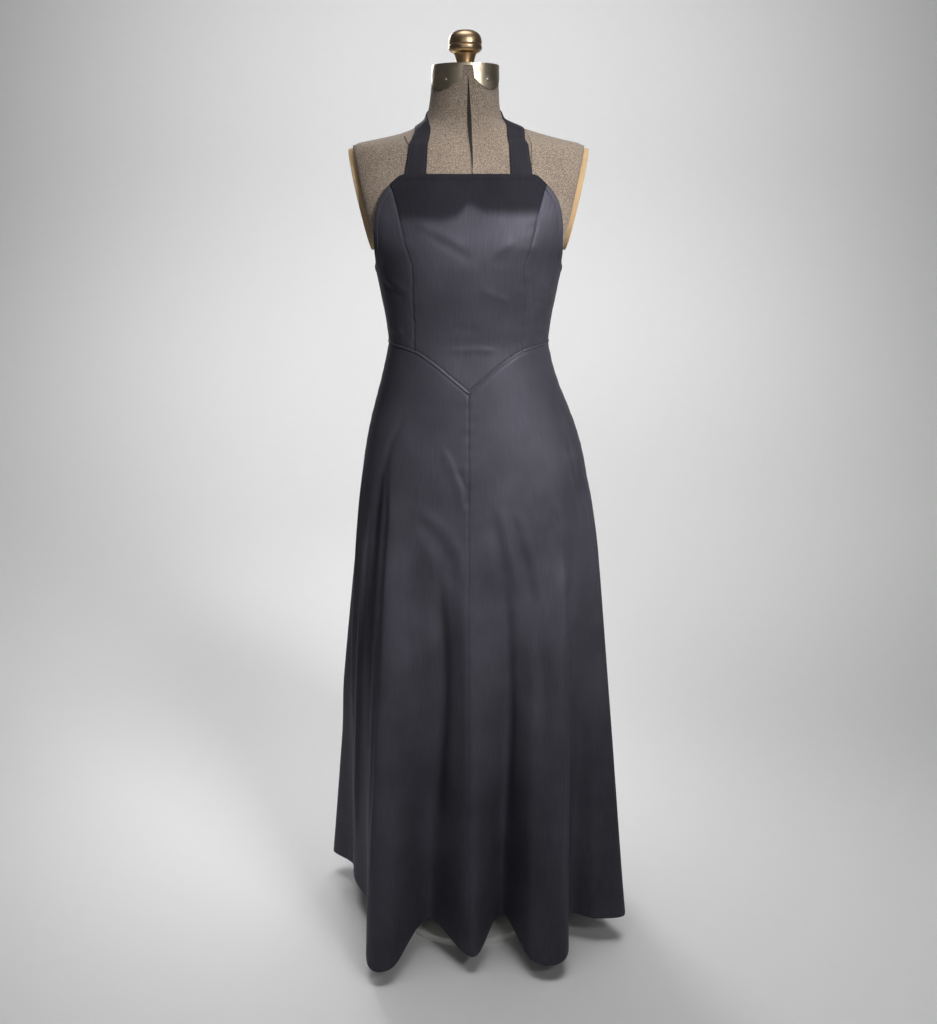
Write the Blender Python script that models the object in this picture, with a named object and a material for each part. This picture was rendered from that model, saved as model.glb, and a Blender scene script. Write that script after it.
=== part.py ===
"""Floor-length halter dress in black satin, worn by a limbless dress form on a round-footed stand.

Metres, +Z up. The front faces -Y, and left and right are as seen from the front. The origin is the
middle of the foot's underside. Angles run round the body from the middle of the front, towards +X.
"""

import math
from collections import namedtuple

import bmesh
import bpy
import numpy as np
from mathutils import Matrix, Vector

# Driving dimensions of the cloth
CLOTH = 0.0015
SEAM_GAP = 0.0003
WAIST_GAP = 0.0004  # measured straight up, across the slope of the pointed seam
DRESS_EASE = 0.0045  # from the form's surface to the outside of the bodice
STRAP_LIFT = 0.0008  # from the form's surface to the underside of the strap
STRAP_THICKNESS = 0.0014
WAIST_HEIGHT = 1.029
SEAM_PASSES = 16  # times that a panel point is moved along between its seams until it settles

# Driving dimensions of the zip in the middle of the back
ZIP_BOTTOM = 0.930
ZIP_SLOT_CLOSED = 0.840  # where the slot has narrowed to a plain seam
ZIP_SLOT_OPEN = 0.900
ZIP_SLOT_WIDTH = 0.005
ZIP_CHAIN_WIDTH = 0.0044
ZIP_TOP_DROP = 0.0015
SLIDER_DROP = 0.011
SLIDER_SIZE = (0.008, 0.002, 0.009)
SLIDER_LIFT = 0.0008
LUG_SIZE = (0.0008, 0.004, 0.0024)
LUG_OFFSET = 0.0031
PIN_RADIUS = 0.0006
PIVOT_LIFT = 0.0052
EYE_OUTER = 0.0018
EYE_INNER = 0.0010
EYE_WIDTH = 0.0040
TAB_SIZE = (0.0050, 0.0012, 0.0165)

# Driving dimensions of the form and its stand
FORM_BOTTOM = 0.760
NECK_TOP = 1.437
TORSO_COLUMNS = 40
PLATE_THICKNESS = 0.009
PLATE_GAP = 0.0003
PLATE_TIP = (0.183, 1.322)  # outer face at the shoulder's tip, across and up
PLATE_SLOPE = 0.2148  # how far the face leans in for each metre down
PLATE_MIDDLE = 1.247
PLATE_HALF_HEIGHT = 0.077
PLATE_HALF_DEPTH = 0.047
PLATE_LOWEST = 1.156  # the form is flat at its sides above this
CAP_LIFT = 0.0004
CAP_THICKNESS = 0.0012
CAP_RIM = 1.4345
CAP_LOWEST = 1.4020
CAP_FLAP_RISE = 0.0170  # from a flap's lowest point up to its corners
CAP_FLAPS = 4
CAP_COLUMNS = 56
CAP_GAP_HALF_ANGLE = 9.0
KNOB_BOTTOM = 1.4390
NECK_MIDDLE = -0.005
POLE_RADIUS = 0.0127
POLE_FLANGE = (0.050, 0.007)
FOOT_RADIUS = 0.135
FOOT_SOCKET_DEPTH = 0.040
FOOT_HEIGHT = 0.060
FIT_GAP = 0.0003

Section = namedtuple("Section", "height left right front back power")

# The form, level by level: half widths, depths in front of and behind the axis, and squareness
FORM_SECTIONS = [
    Section(0.740, 0.1660, 0.1660, 0.1100, 0.1190, 2.2),
    Section(0.760, 0.1660, 0.1660, 0.1100, 0.1190, 2.2),
    Section(0.830, 0.1620, 0.1620, 0.1085, 0.1155, 2.2),
    Section(0.900, 0.1500, 0.1500, 0.1040, 0.1035, 2.2),
    Section(0.960, 0.1360, 0.1360, 0.0975, 0.0880, 2.25),
    Section(1.030, 0.1225, 0.1225, 0.0930, 0.0770, 2.3),
    Section(1.062, 0.1255, 0.1255, 0.0990, 0.0790, 2.3),
    Section(1.099, 0.1320, 0.1320, 0.1080, 0.0830, 2.35),
    Section(1.136, 0.1390, 0.1390, 0.1170, 0.0880, 2.4),
    Section(1.152, 0.1430, 0.1430, 0.1195, 0.0900, 2.4),
    Section(1.173, 0.1560, 0.1560, 0.1200, 0.0925, 2.4),
    Section(1.209, 0.1740, 0.1740, 0.1150, 0.0960, 2.3),
    Section(1.245, 0.1870, 0.1870, 0.1045, 0.0980, 2.2),
    Section(1.281, 0.1960, 0.1960, 0.0915, 0.0960, 2.1),
    Section(1.305, 0.2000, 0.2000, 0.0820, 0.0900, 2.0),
    Section(1.322, 0.1940, 0.1940, 0.0730, 0.0810, 2.0),
    Section(1.332, 0.1500, 0.1500, 0.0655, 0.0730, 2.0),
    Section(1.342, 0.1030, 0.1100, 0.0595, 0.0665, 2.0),
    Section(1.352, 0.0785, 0.0770, 0.0555, 0.0620, 2.0),
    Section(1.364, 0.0645, 0.0520, 0.0530, 0.0575, 2.0),
    Section(1.385, 0.0590, 0.0465, 0.0515, 0.0530, 2.0),
    Section(1.437, 0.0530, 0.0445, 0.0495, 0.0495, 2.0),
]

# The skirt below the waist, before its folds
SKIRT_SECTIONS = [
    Section(0.000, 0.2240, 0.2380, 0.1670, 0.1920, 2.0),
    Section(0.040, 0.2220, 0.2360, 0.1650, 0.1900, 2.0),
    Section(0.420, 0.2060, 0.2250, 0.1420, 0.1580, 2.05),
    Section(0.682, 0.1880, 0.2140, 0.1240, 0.1360, 2.15),
    Section(0.766, 0.1795, 0.2040, 0.1190, 0.1280, 2.2),
    Section(0.807, 0.1750, 0.1950, 0.1175, 0.1250, 2.2),
    Section(0.847, 0.1695, 0.1870, 0.1150, 0.1210, 2.2),
    Section(0.887, 0.1620, 0.1755, 0.1120, 0.1140, 2.2),
    Section(0.927, 0.1520, 0.1600, 0.1080, 0.1045, 2.2),
    Section(0.966, 0.1410, 0.1435, 0.1035, 0.0935, 2.25),
    Section(1.005, 0.1315, 0.1315, 0.0990, 0.0845, 2.3),
]

EdgePoint = namedtuple("EdgePoint", "angle height")

# The neckline, the armhole and the low back, from the front round to the middle of the back
TOP_EDGE = [
    EdgePoint(0.0, 1.2825),
    EdgePoint(27.0, 1.2825),
    EdgePoint(29.5, 1.2805),
    EdgePoint(32.3, 1.2745),
    EdgePoint(36.0, 1.2650),
    EdgePoint(39.5, 1.2545),
    EdgePoint(43.0, 1.2400),
    EdgePoint(46.0, 1.2245),
    EdgePoint(49.0, 1.2060),
    EdgePoint(52.0, 1.1900),
    EdgePoint(56.0, 1.1750),
    EdgePoint(62.0, 1.1620),
    EdgePoint(70.0, 1.1515),
    EdgePoint(80.0, 1.1460),
    EdgePoint(90.0, 1.1440),
    EdgePoint(120.0, 1.1380),
    EdgePoint(150.0, 1.1220),
    EdgePoint(180.0, 1.1080),
]

# The waist seam, which drops to a point in the middle of the front
WAIST_SEAM = [
    EdgePoint(0.0, 0.9600),
    EdgePoint(13.4, 0.9857),
    EdgePoint(25.5, 1.0060),
    EdgePoint(40.2, 1.0215),
    EdgePoint(60.0, 1.0270),
    EdgePoint(90.0, WAIST_HEIGHT),
    EdgePoint(180.0, WAIST_HEIGHT),
]

# The seam over the bust, from the neckline's corner to the waist
PRINCESS_SEAM = [
    EdgePoint(39.3, 1.020),
    EdgePoint(36.1, 1.095),
    EdgePoint(32.4, 1.165),
    EdgePoint(32.3, 1.215),
    EdgePoint(33.8, 1.255),
    EdgePoint(35.2, 1.270),
]

Fold = namedtuple("Fold", "angle hem_x hem_y hem_z start")

# One row for each crest or hollow of the skirt's folds: where it leaves the hip, and its point at the hem
FOLDS = [
    Fold(-166.0, -0.048, 0.238, 0.040, 0.72),
    Fold(-152.0, -0.098, 0.157, 0.050, 0.66),
    Fold(-138.0, -0.168, 0.206, 0.040, 0.70),
    Fold(-121.0, -0.190, 0.128, 0.050, 0.66),
    Fold(-104.0, -0.2585, 0.093, 0.045, 0.80),
    Fold(-90.0, -0.217, 0.040, 0.050, 0.66),
    Fold(-78.0, -0.208, -0.010, 0.050, 0.62),
    Fold(-64.0, -0.173, -0.096, 0.048, 0.74),
    Fold(-50.0, -0.169, -0.214, 0.030, 0.85),
    Fold(-34.0, -0.126, -0.229, 0.030, 0.80),
    Fold(-16.0, -0.070, -0.135, 0.055, 0.68),
    Fold(3.0, 0.012, -0.203, 0.033, 0.74),
    Fold(16.0, 0.056, -0.119, 0.055, 0.70),
    Fold(30.0, 0.104, -0.211, 0.032, 0.74),
    Fold(46.0, 0.166, -0.200, 0.034, 0.80),
    Fold(57.0, 0.172, -0.112, 0.047, 0.70),
    Fold(68.0, 0.222, -0.120, 0.046, 0.72),
    Fold(79.0, 0.272, -0.110, 0.046, 0.82),
    Fold(98.0, 0.222, -0.004, 0.050, 0.62),
    Fold(116.0, 0.248, 0.088, 0.045, 0.70),
    Fold(129.0, 0.187, 0.122, 0.050, 0.66),
    Fold(143.0, 0.176, 0.206, 0.040, 0.70),
    Fold(155.0, 0.112, 0.152, 0.050, 0.66),
    Fold(168.0, 0.080, 0.236, 0.040, 0.72),
    Fold(181.0, 0.016, 0.158, 0.050, 0.66),
]
FOLD_EASE_IN = 0.22

StrapStation = namedtuple("StrapStation", "along inner_x inner_y inner_z outer_x outer_y outer_z")

# The strap's two edges, from behind the neckline to the nape: the right half, laid onto the form
STRAP_ROUTE = [
    StrapStation(0.00, 0.0605, -0.0930, 1.2620, 0.0895, -0.0870, 1.2620),
    StrapStation(0.12, 0.0608, -0.0860, 1.2840, 0.0915, -0.0795, 1.2840),
    StrapStation(0.24, 0.0595, -0.0750, 1.3110, 0.0885, -0.0710, 1.3090),
    StrapStation(0.34, 0.0575, -0.0620, 1.3300, 0.0850, -0.0602, 1.3270),
    StrapStation(0.43, 0.0563, -0.0490, 1.3435, 0.0830, -0.0485, 1.3365),
    StrapStation(0.53, 0.0565, -0.0302, 1.3570, 0.0815, -0.0300, 1.3455),
    StrapStation(0.65, 0.0570, 0.0000, 1.3720, 0.0780, 0.0000, 1.3520),
    StrapStation(0.78, 0.0470, 0.0310, 1.3830, 0.0580, 0.0380, 1.3590),
    StrapStation(0.90, 0.0240, 0.0480, 1.3880, 0.0280, 0.0550, 1.3630),
    StrapStation(1.00, 0.0000, 0.0520, 1.3890, 0.0000, 0.0600, 1.3640),
]

TurnedPoint = namedtuple("TurnedPoint", "radius height")

# The knob's outline above its foot
KNOB_PROFILE = [
    TurnedPoint(0.0000, 0.0000),
    TurnedPoint(0.0125, 0.0000),
    TurnedPoint(0.0144, 0.0090),
    TurnedPoint(0.0174, 0.0163),
    TurnedPoint(0.0225, 0.0190),
    TurnedPoint(0.0250, 0.0225),
    TurnedPoint(0.0252, 0.0265),
    TurnedPoint(0.0241, 0.0282),
    TurnedPoint(0.0250, 0.0300),
    TurnedPoint(0.0246, 0.0350),
    TurnedPoint(0.0225, 0.0410),
    TurnedPoint(0.0180, 0.0455),
    TurnedPoint(0.0100, 0.0487),
    TurnedPoint(0.0000, 0.0497),
]


def slopes_between(xs, ys, keep_monotone):
    """Slopes at the points (xs, ys) for a smooth curve through them, with no overshoot if asked for."""
    steps = np.diff(xs)
    rises = np.diff(ys) / steps
    slopes = np.empty(len(xs))
    slopes[0], slopes[-1] = rises[0], rises[-1]
    if keep_monotone:
        same_way = rises[:-1] * rises[1:] > 0
        safe = np.where(same_way, rises[:-1] + rises[1:], 1.0)
        slopes[1:-1] = np.where(same_way, 2 * rises[:-1] * rises[1:] / safe, 0.0)
    else:
        slopes[1:-1] = (rises[:-1] * steps[1:] + rises[1:] * steps[:-1]) / (steps[:-1] + steps[1:])
    return slopes


def smooth_curve(xs, ys, x, keep_monotone=True):
    """The smooth curve through the points (xs, ys), read at x, and held level past its ends."""
    xs, ys = np.asarray(xs, float), np.asarray(ys, float)
    slopes = slopes_between(xs, ys, keep_monotone)
    x = np.clip(x, xs[0], xs[-1])
    i = np.clip(np.searchsorted(xs, x, side="right") - 1, 0, len(xs) - 2)
    width = xs[i + 1] - xs[i]
    t = (x - xs[i]) / width
    from_start = (1 + 2 * t) * (1 - t) ** 2 * ys[i] + t * (1 - t) ** 2 * width * slopes[i]
    from_end = t**2 * (3 - 2 * t) * ys[i + 1] + t**2 * (t - 1) * width * slopes[i + 1]
    return from_start + from_end


def read_column(rows, key, column, x, keep_monotone=True):
    """One named column of a table, as a smooth curve over its key column, read at x."""
    keys = [getattr(row, key) for row in rows]
    values = [getattr(row, column) for row in rows]
    return smooth_curve(keys, values, x, keep_monotone)


def ring_point(sections, angle, height):
    """Points of a body's rounded cross-section, for arrays of angles in degrees and of heights."""
    left, right, front, back, power = (
        read_column(sections, "height", column, height)
        for column in ("left", "right", "front", "back", "power")
    )
    sine, cosine = np.sin(np.radians(angle)), np.cos(np.radians(angle))
    swell = (np.abs(sine) ** power + np.abs(cosine) ** power) ** (-1 / power)
    across = np.where(sine >= 0, right, left) * sine * swell
    along = -np.where(cosine >= 0, front, back) * cosine * swell
    return np.stack([across, along, height + 0 * across], axis=-1)


def eased(section):
    """The bodice's cross-section over one of the form's."""
    sides = (section.left, section.right, section.front, section.back)
    return Section(section.height, *(side + DRESS_EASE for side in sides), section.power)


DRESS_SECTIONS = SKIRT_SECTIONS + [
    eased(s) for s in FORM_SECTIONS if s.height > SKIRT_SECTIONS[-1].height
]
TURN = 360.0
AROUND = [row._replace(angle=row.angle + turn) for turn in (-TURN, 0.0, TURN) for row in FOLDS]


def hem_height(angle):
    """Height of the hem at these angles."""
    return read_column(AROUND, "angle", "hem_z", angle, keep_monotone=False)


def dress_point(angle, height):
    """Points on the outside of the dress, folds and all, for arrays of angles and heights."""
    smooth = ring_point(DRESS_SECTIONS, angle, height)
    hem_z = hem_height(angle)
    start = read_column(AROUND, "angle", "start", angle, keep_monotone=False)
    at_hem = ring_point(DRESS_SECTIONS, angle, hem_z)
    hem_x = read_column(AROUND, "angle", "hem_x", angle, keep_monotone=False)
    hem_y = read_column(AROUND, "angle", "hem_y", angle, keep_monotone=False)
    down = np.maximum((start - height) / (start - hem_z), 0.0)
    full = math.hypot(1, FOLD_EASE_IN) - FOLD_EASE_IN
    grown = (np.hypot(down, FOLD_EASE_IN) - FOLD_EASE_IN) / full
    smooth[..., 0] += grown * (hem_x - at_hem[..., 0])
    smooth[..., 1] += grown * (hem_y - at_hem[..., 1])
    return smooth


def form_point(angle, height):
    """Points on the form, before its sides are cut flat for the arm plates."""
    return ring_point(FORM_SECTIONS, angle, height)


def outward(surface, angle, height):
    """Unit normals of a surface of angle and height, pointing away from the body."""
    turn, rise = 0.2, 0.0005
    round_it = surface(angle + turn, height) - surface(angle - turn, height)
    up = surface(angle, height + rise) - surface(angle, height - rise)
    normal = np.cross(round_it, up)
    return normal / np.linalg.norm(normal, axis=-1, keepdims=True)


def angle_for(distance, angle, height):
    """The angle that moves a point of the dress sideways by this distance."""
    turn = 0.05
    reach = np.linalg.norm(dress_point(angle + turn, height) - dress_point(angle - turn, height), axis=-1)
    return distance * 2 * turn / reach


def top_edge(angle):
    """Height of the bodice's upper edge at these angles."""
    return read_column(TOP_EDGE, "angle", "height", np.abs(angle))


def waist_seam(angle):
    """Height of the waist seam at these angles."""
    return read_column(WAIST_SEAM, "angle", "height", np.abs(angle))


def princess_seam(height):
    """Angle of the seam over the bust at these heights."""
    return read_column(PRINCESS_SEAM, "height", "angle", height)


def half_slot(height):
    """Half the gap in the middle of the back: the zip's slot above, and a plain seam below."""
    return np.interp(height, [ZIP_SLOT_CLOSED, ZIP_SLOT_OPEN], [SEAM_GAP / 2, ZIP_SLOT_WIDTH / 2])


def finish_mesh(bm, name, material, parent, smooth=True):
    """Makes an object of a bmesh, with its material."""
    mesh = bpy.data.meshes.new(name)
    bm.to_mesh(mesh)
    bm.free()
    mesh.materials.append(material)
    if smooth:
        mesh.shade_smooth()
        mesh.set_sharp_from_angle(angle=math.radians(50))
    piece = bpy.data.objects.new(name, mesh)
    bpy.context.scene.collection.objects.link(piece)
    piece.parent = parent
    return piece


def make_wall(name, columns, rows, place, material, parent):
    """A closed wall over a grid: place(u, v) gives its outer and inner points, for u and v from 0 to 1."""
    bm = bmesh.new()
    bmesh.ops.create_grid(bm, x_segments=columns, y_segments=rows, size=0.5)
    grown = bmesh.ops.extrude_face_region(bm, geom=bm.faces[:], use_keep_orig=True)
    outer_verts = {v for v in grown["geom"] if isinstance(v, bmesh.types.BMVert)}
    verts = list(bm.verts)
    flat = np.array([v.co for v in verts]) + 0.5
    outer, inner = place(flat[:, 0], flat[:, 1])
    for vert, outside, inside in zip(verts, outer, inner):
        vert.co = Vector(outside if vert in outer_verts else inside)
    bmesh.ops.recalc_face_normals(bm, faces=bm.faces[:])
    return finish_mesh(bm, name, material, parent)


def panel_place(left_angle, right_angle, bottom, top, stretch=1.0):
    """How a dress panel's grid is laid out: between two seams, from its lower edge to its upper one."""

    def place(u, v):
        v = 1 - (1 - v) ** stretch
        angle, height = (left_angle(0 * v) + right_angle(0 * v)) / 2, v
        for _ in range(SEAM_PASSES):
            height = bottom(angle) + (top(angle) - bottom(angle)) * v
            angle = left_angle(height) + (right_angle(height) - left_angle(height)) * u
        height = bottom(angle) + (top(angle) - bottom(angle)) * v
        outer = dress_point(angle, height)
        return outer, outer - CLOTH * outward(dress_point, angle, height)

    return place


def seam_at(angle_of, side, half_gap):
    """A panel's edge beside a seam: side is 1 just past the seam, and -1 just short of it."""

    def edge(height):
        angle = angle_of(height)
        return angle + side * angle_for(half_gap(height), angle, height)

    return edge


def fixed_angle(angle):
    """A seam that runs straight down at one angle."""
    return lambda height: angle + 0.0 * np.asarray(height, float)


def plain_gap(height):
    """Half the gap at a plain seam."""
    return SEAM_GAP / 2 + 0.0 * np.asarray(height, float)


def bodice_bottom(angle):
    """Lower edge of the bodice, just above the waist seam."""
    return waist_seam(angle) + WAIST_GAP / 2


def skirt_top(angle):
    """Upper edge of the skirt, just below the waist seam."""
    return waist_seam(angle) - WAIST_GAP / 2


def make_bodice(material, parent):
    """Centre front, two side fronts and two backs."""
    left_princess, right_princess = (lambda h: -princess_seam(h)), princess_seam
    side, back = 90.0, 180.0
    panels = [
        ("bodice_centre_front", 16, left_princess, right_princess, plain_gap, plain_gap),
        ("bodice_side_front_right", 11, right_princess, fixed_angle(side), plain_gap, plain_gap),
        ("bodice_side_front_left", 11, fixed_angle(-side), left_princess, plain_gap, plain_gap),
        ("bodice_back_right", 11, fixed_angle(side), fixed_angle(back), plain_gap, half_slot),
        ("bodice_back_left", 11, fixed_angle(-back), fixed_angle(-side), half_slot, plain_gap),
    ]
    for name, columns, start, end, start_gap, end_gap in panels:
        edges = seam_at(start, 1, start_gap), seam_at(end, -1, end_gap)
        place = panel_place(*edges, bodice_bottom, top_edge)
        make_wall(name, columns, 10, place, material, parent)


def make_skirt(material, parent):
    """Four flared gores, seamed at the front, the sides and the back."""
    front, side, back = 0.0, 90.0, 180.0
    gores = [
        ("skirt_front_right", front, side, plain_gap, plain_gap),
        ("skirt_back_right", side, back, plain_gap, half_slot),
        ("skirt_back_left", -back, -side, half_slot, plain_gap),
        ("skirt_front_left", -side, front, plain_gap, plain_gap),
    ]
    for name, start, end, start_gap, end_gap in gores:
        edges = seam_at(fixed_angle(start), 1, start_gap), seam_at(fixed_angle(end), -1, end_gap)
        place = panel_place(*edges, hem_height, skirt_top, stretch=1.5)
        make_wall(name, 24, 12, place, material, parent)


def form_angle(x, y, height):
    """The form's angle in the direction of (x, y) at this height."""
    left, right, front, back = (
        read_column(FORM_SECTIONS, "height", column, height)
        for column in ("left", "right", "front", "back")
    )
    across = x / np.where(x >= 0, right, left)
    along = y / np.where(y >= 0, back, front)
    return np.degrees(np.arctan2(across, -along))


def wrapped(turn):
    """A turn in degrees, brought into the half turn either way."""
    return (turn + TURN / 2) % TURN - TURN / 2


def strap_edge(edge, along, side):
    """Where the strap's inner or outer edge is on the form, as an angle and a height."""
    x, y, height = (
        read_column(STRAP_ROUTE, "along", f"{edge}_{axis}", along, keep_monotone=False) for axis in "xyz"
    )
    return form_angle(side * x, y, height), height


def make_strap(material, parent):
    """One strap from behind the neckline, up round the neck and down the other side."""

    def place(u, v):
        side = np.where(v < 0.5, -1.0, 1.0)
        along = 1 - np.abs(2 * v - 1)
        inner_angle, inner_height = strap_edge("inner", along, side)
        outer_angle, outer_height = strap_edge("outer", along, side)
        angle = inner_angle + wrapped(outer_angle - inner_angle) * u
        height = inner_height + (outer_height - inner_height) * u
        on_form, normal = form_point(angle, height), outward(form_point, angle, height)
        return on_form + (STRAP_LIFT + STRAP_THICKNESS) * normal, on_form + STRAP_LIFT * normal

    make_wall("halter_strap", 3, 56, place, material, parent)


def make_zip_chain(material, parent):
    """The closed zip between the two backs, flush with the cloth."""

    def place(u, v):
        top = top_edge(180.0) - ZIP_TOP_DROP
        height = ZIP_BOTTOM + (top - ZIP_BOTTOM) * v
        middle = dress_point(180.0 + 0 * v, height)
        sideways = np.stack([(0.5 - u) * ZIP_CHAIN_WIDTH, 0 * u, 0 * u], axis=-1)
        outer = middle * [0, 1, 1] + sideways
        return outer, outer - [0, CLOTH, 0]

    make_wall("zip_chain", 1, 12, place, material, parent)


def box_mesh(bm, size, centre):
    """Adds a box to a bmesh."""
    shape = Matrix.Translation(centre) @ Matrix.Diagonal((*size, 1))
    bmesh.ops.create_cube(bm, size=1, matrix=shape)


def rod_mesh(bm, radius, length, centre, segments=16):
    """Adds a rod along X to a bmesh."""
    shape = Matrix.Translation(centre) @ Matrix.Rotation(math.pi / 2, 4, "Y")
    bmesh.ops.create_cone(
        bm, cap_ends=True, segments=segments, radius1=radius, radius2=radius, depth=length, matrix=shape
    )


def combine(piece, operation, bm, name):
    """Joins a shape to a piece, or cuts it out, and leaves the modifier on the piece."""
    tool = finish_mesh(bm, name, piece.data.materials[0], piece.parent, smooth=False)
    tool.matrix_basis = piece.matrix_basis
    tool.hide_render = True
    tool.display_type = "WIRE"
    modifier = piece.modifiers.new(name, "BOOLEAN")
    modifier.operation = operation
    modifier.object = tool


def zip_frame():
    """Where the slider sits on the back: its matrix, with X across, Y away from the cloth and Z up."""
    height = float(top_edge(180.0)) - SLIDER_DROP
    spot = dress_point(np.array(180.0), np.array(height))
    normal = Vector(outward(dress_point, np.array(180.0), np.array(height)))
    normal.x = 0
    normal.normalize()
    across = Vector((1, 0, 0))
    turn = Matrix((across, normal, across.cross(normal))).transposed().to_4x4()
    return Matrix.Translation(Vector((0, spot[1], spot[2]))) @ turn


def make_slider(material, parent):
    """The zip's slider: a flat body, two lugs and the pin between them."""
    bm = bmesh.new()
    box_mesh(bm, SLIDER_SIZE, Vector((0, SLIDER_LIFT + SLIDER_SIZE[1] / 2, 0)))
    bmesh.ops.bevel(
        bm, geom=bm.edges[:], offset=0.0004, segments=1, affect="EDGES", profile=0.5, material=-1
    )
    slider = finish_mesh(bm, "zip_slider", material, parent, smooth=False)
    slider.matrix_basis = zip_frame()
    lug_middle = SLIDER_LIFT + SLIDER_SIZE[1] - 0.0004 + LUG_SIZE[1] / 2
    for side, name in ((-1, "slider_lug_left"), (1, "slider_lug_right")):
        lug = bmesh.new()
        box_mesh(lug, LUG_SIZE, Vector((side * LUG_OFFSET, lug_middle, 0)))
        combine(slider, "UNION", lug, name)
    pin = bmesh.new()
    rod_mesh(pin, PIN_RADIUS, 2 * LUG_OFFSET, Vector((0, PIVOT_LIFT, 0)), segments=10)
    combine(slider, "UNION", pin, "slider_pin")


def make_pull(material, parent):
    """The zip's pull tab, hanging from the pin by its eye; its origin is on the pin's axis."""
    bm = bmesh.new()
    box_mesh(bm, TAB_SIZE, Vector((0, 0, -EYE_INNER - 0.0003 - TAB_SIZE[2] / 2)))
    lowest = min(v.co.z for v in bm.verts)
    corners = [e for e in bm.edges if all(abs(v.co.z - lowest) < 1e-6 for v in e.verts)]
    ends = [e for e in corners if abs(e.verts[0].co.x - e.verts[1].co.x) < 1e-6]
    bmesh.ops.bevel(bm, geom=ends, offset=0.0016, segments=3, affect="EDGES", profile=0.5, material=-1)
    pull = finish_mesh(bm, "zip_pull", material, parent, smooth=False)
    pull.location = zip_frame() @ Vector((0, PIVOT_LIFT, 0))
    eye = bmesh.new()
    rod_mesh(eye, EYE_OUTER, EYE_WIDTH, Vector((0, 0, 0)))
    combine(pull, "UNION", eye, "pull_eye")
    hole = bmesh.new()
    rod_mesh(hole, EYE_INNER, 2 * EYE_WIDTH, Vector((0, 0, 0)))
    combine(pull, "DIFFERENCE", hole, "pull_hole")


def loft(name, rings, material, parent):
    """A closed solid through rings of points, each as long as the first, from the lowest up."""
    bm = bmesh.new()
    made = bmesh.ops.create_circle(bm, cap_ends=True, segments=len(rings[0]), radius=1)
    ring = list(made["verts"])
    for vert, point in zip(ring, rings[0]):
        vert.co = Vector(point)
    edges = list({edge for vert in ring for edge in vert.link_edges if all(v in ring for v in edge.verts)})
    for points in rings[1:]:
        grown = bmesh.ops.extrude_edge_only(bm, edges=edges)
        fresh = {v for v in grown["geom"] if isinstance(v, bmesh.types.BMVert)}
        ring = [next(e.other_vert(v) for e in v.link_edges if e.other_vert(v) in fresh) for v in ring]
        edges = [
            e for e in grown["geom"]
            if isinstance(e, bmesh.types.BMEdge) and all(v in fresh for v in e.verts)
        ]
        for vert, point in zip(ring, points):
            vert.co = Vector(point)
    bmesh.ops.contextual_create(bm, geom=edges)
    bmesh.ops.recalc_face_normals(bm, faces=bm.faces[:])
    return finish_mesh(bm, name, material, parent)


def plate_face(height):
    """How far from the middle the outer face of an arm plate is, at this height."""
    return PLATE_TIP[0] + (height - PLATE_TIP[1]) * PLATE_SLOPE


def make_torso(material, parent):
    """The form's body, shoulders and neck in one smooth solid, flat where the arm plates go."""
    levels = [FORM_BOTTOM, 0.795, 0.83, 0.87, 0.91, 0.95, 0.99, 1.03, 1.065, 1.10, 1.136, 1.154, 1.173]
    levels += [1.20, 1.23, 1.26, 1.285, 1.305, 1.318, 1.326, 1.333, 1.340, 1.347, 1.354, 1.362, 1.373]
    levels += [1.388, 1.410, NECK_TOP]
    angles = np.arange(0, TURN, TURN / TORSO_COLUMNS)
    rings = []
    for level in levels:
        ring = form_point(angles, level + 0 * angles)
        if level > PLATE_LOWEST:
            limit = plate_face(level) - PLATE_THICKNESS - PLATE_GAP
            ring[:, 0] = np.clip(ring[:, 0], -limit, limit)
        rings.append(ring)
    loft("form_torso", rings, material, parent)


def make_arm_plates(material, parent):
    """The two oval boards that close the form's armholes."""
    for side, name in ((-1, "form_arm_plate_left"), (1, "form_arm_plate_right")):
        bm = bmesh.new()
        bmesh.ops.create_circle(bm, cap_ends=True, segments=24, radius=1)
        grown = bmesh.ops.extrude_face_region(bm, geom=bm.faces[:], use_keep_orig=True)
        top = [v for v in grown["geom"] if isinstance(v, bmesh.types.BMVert)]
        bmesh.ops.translate(bm, verts=top, vec=(0, 0, 1))
        shape = Matrix.Diagonal((PLATE_HALF_DEPTH, PLATE_HALF_HEIGHT, PLATE_THICKNESS, 1))
        bmesh.ops.transform(bm, matrix=shape, verts=bm.verts[:])
        rim = [e for e in bm.edges if len({round(v.co.z, 6) for v in e.verts}) == 1]
        bmesh.ops.bevel(bm, geom=rim, offset=0.001, segments=1, affect="EDGES", profile=0.5, material=-1)
        lean = Vector((side * PLATE_SLOPE, 0, 1)).normalized()
        forward = Vector((0, side, 0))
        away = forward.cross(lean)
        turn = Matrix((forward, lean, away)).transposed().to_4x4()
        inner_face = side * (plate_face(PLATE_MIDDLE) - PLATE_THICKNESS)
        bmesh.ops.recalc_face_normals(bm, faces=bm.faces[:])
        plate = finish_mesh(bm, name, material, parent, smooth=False)
        plate.matrix_basis = Matrix.Translation((inner_face, 0, PLATE_MIDDLE)) @ turn


def cap_edge(angle):
    """Height of the neck cap's lower edge: four rounded flaps with narrow gaps between them."""
    quarter = TURN / CAP_FLAPS
    from_middle = np.abs((angle % quarter) - quarter / 2)
    reach = quarter / 2 - CAP_GAP_HALF_ANGLE
    rounded = CAP_LOWEST + CAP_FLAP_RISE * np.clip(from_middle / reach, 0, 1) ** 2
    return np.where(from_middle > reach, CAP_RIM, rounded)


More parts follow.
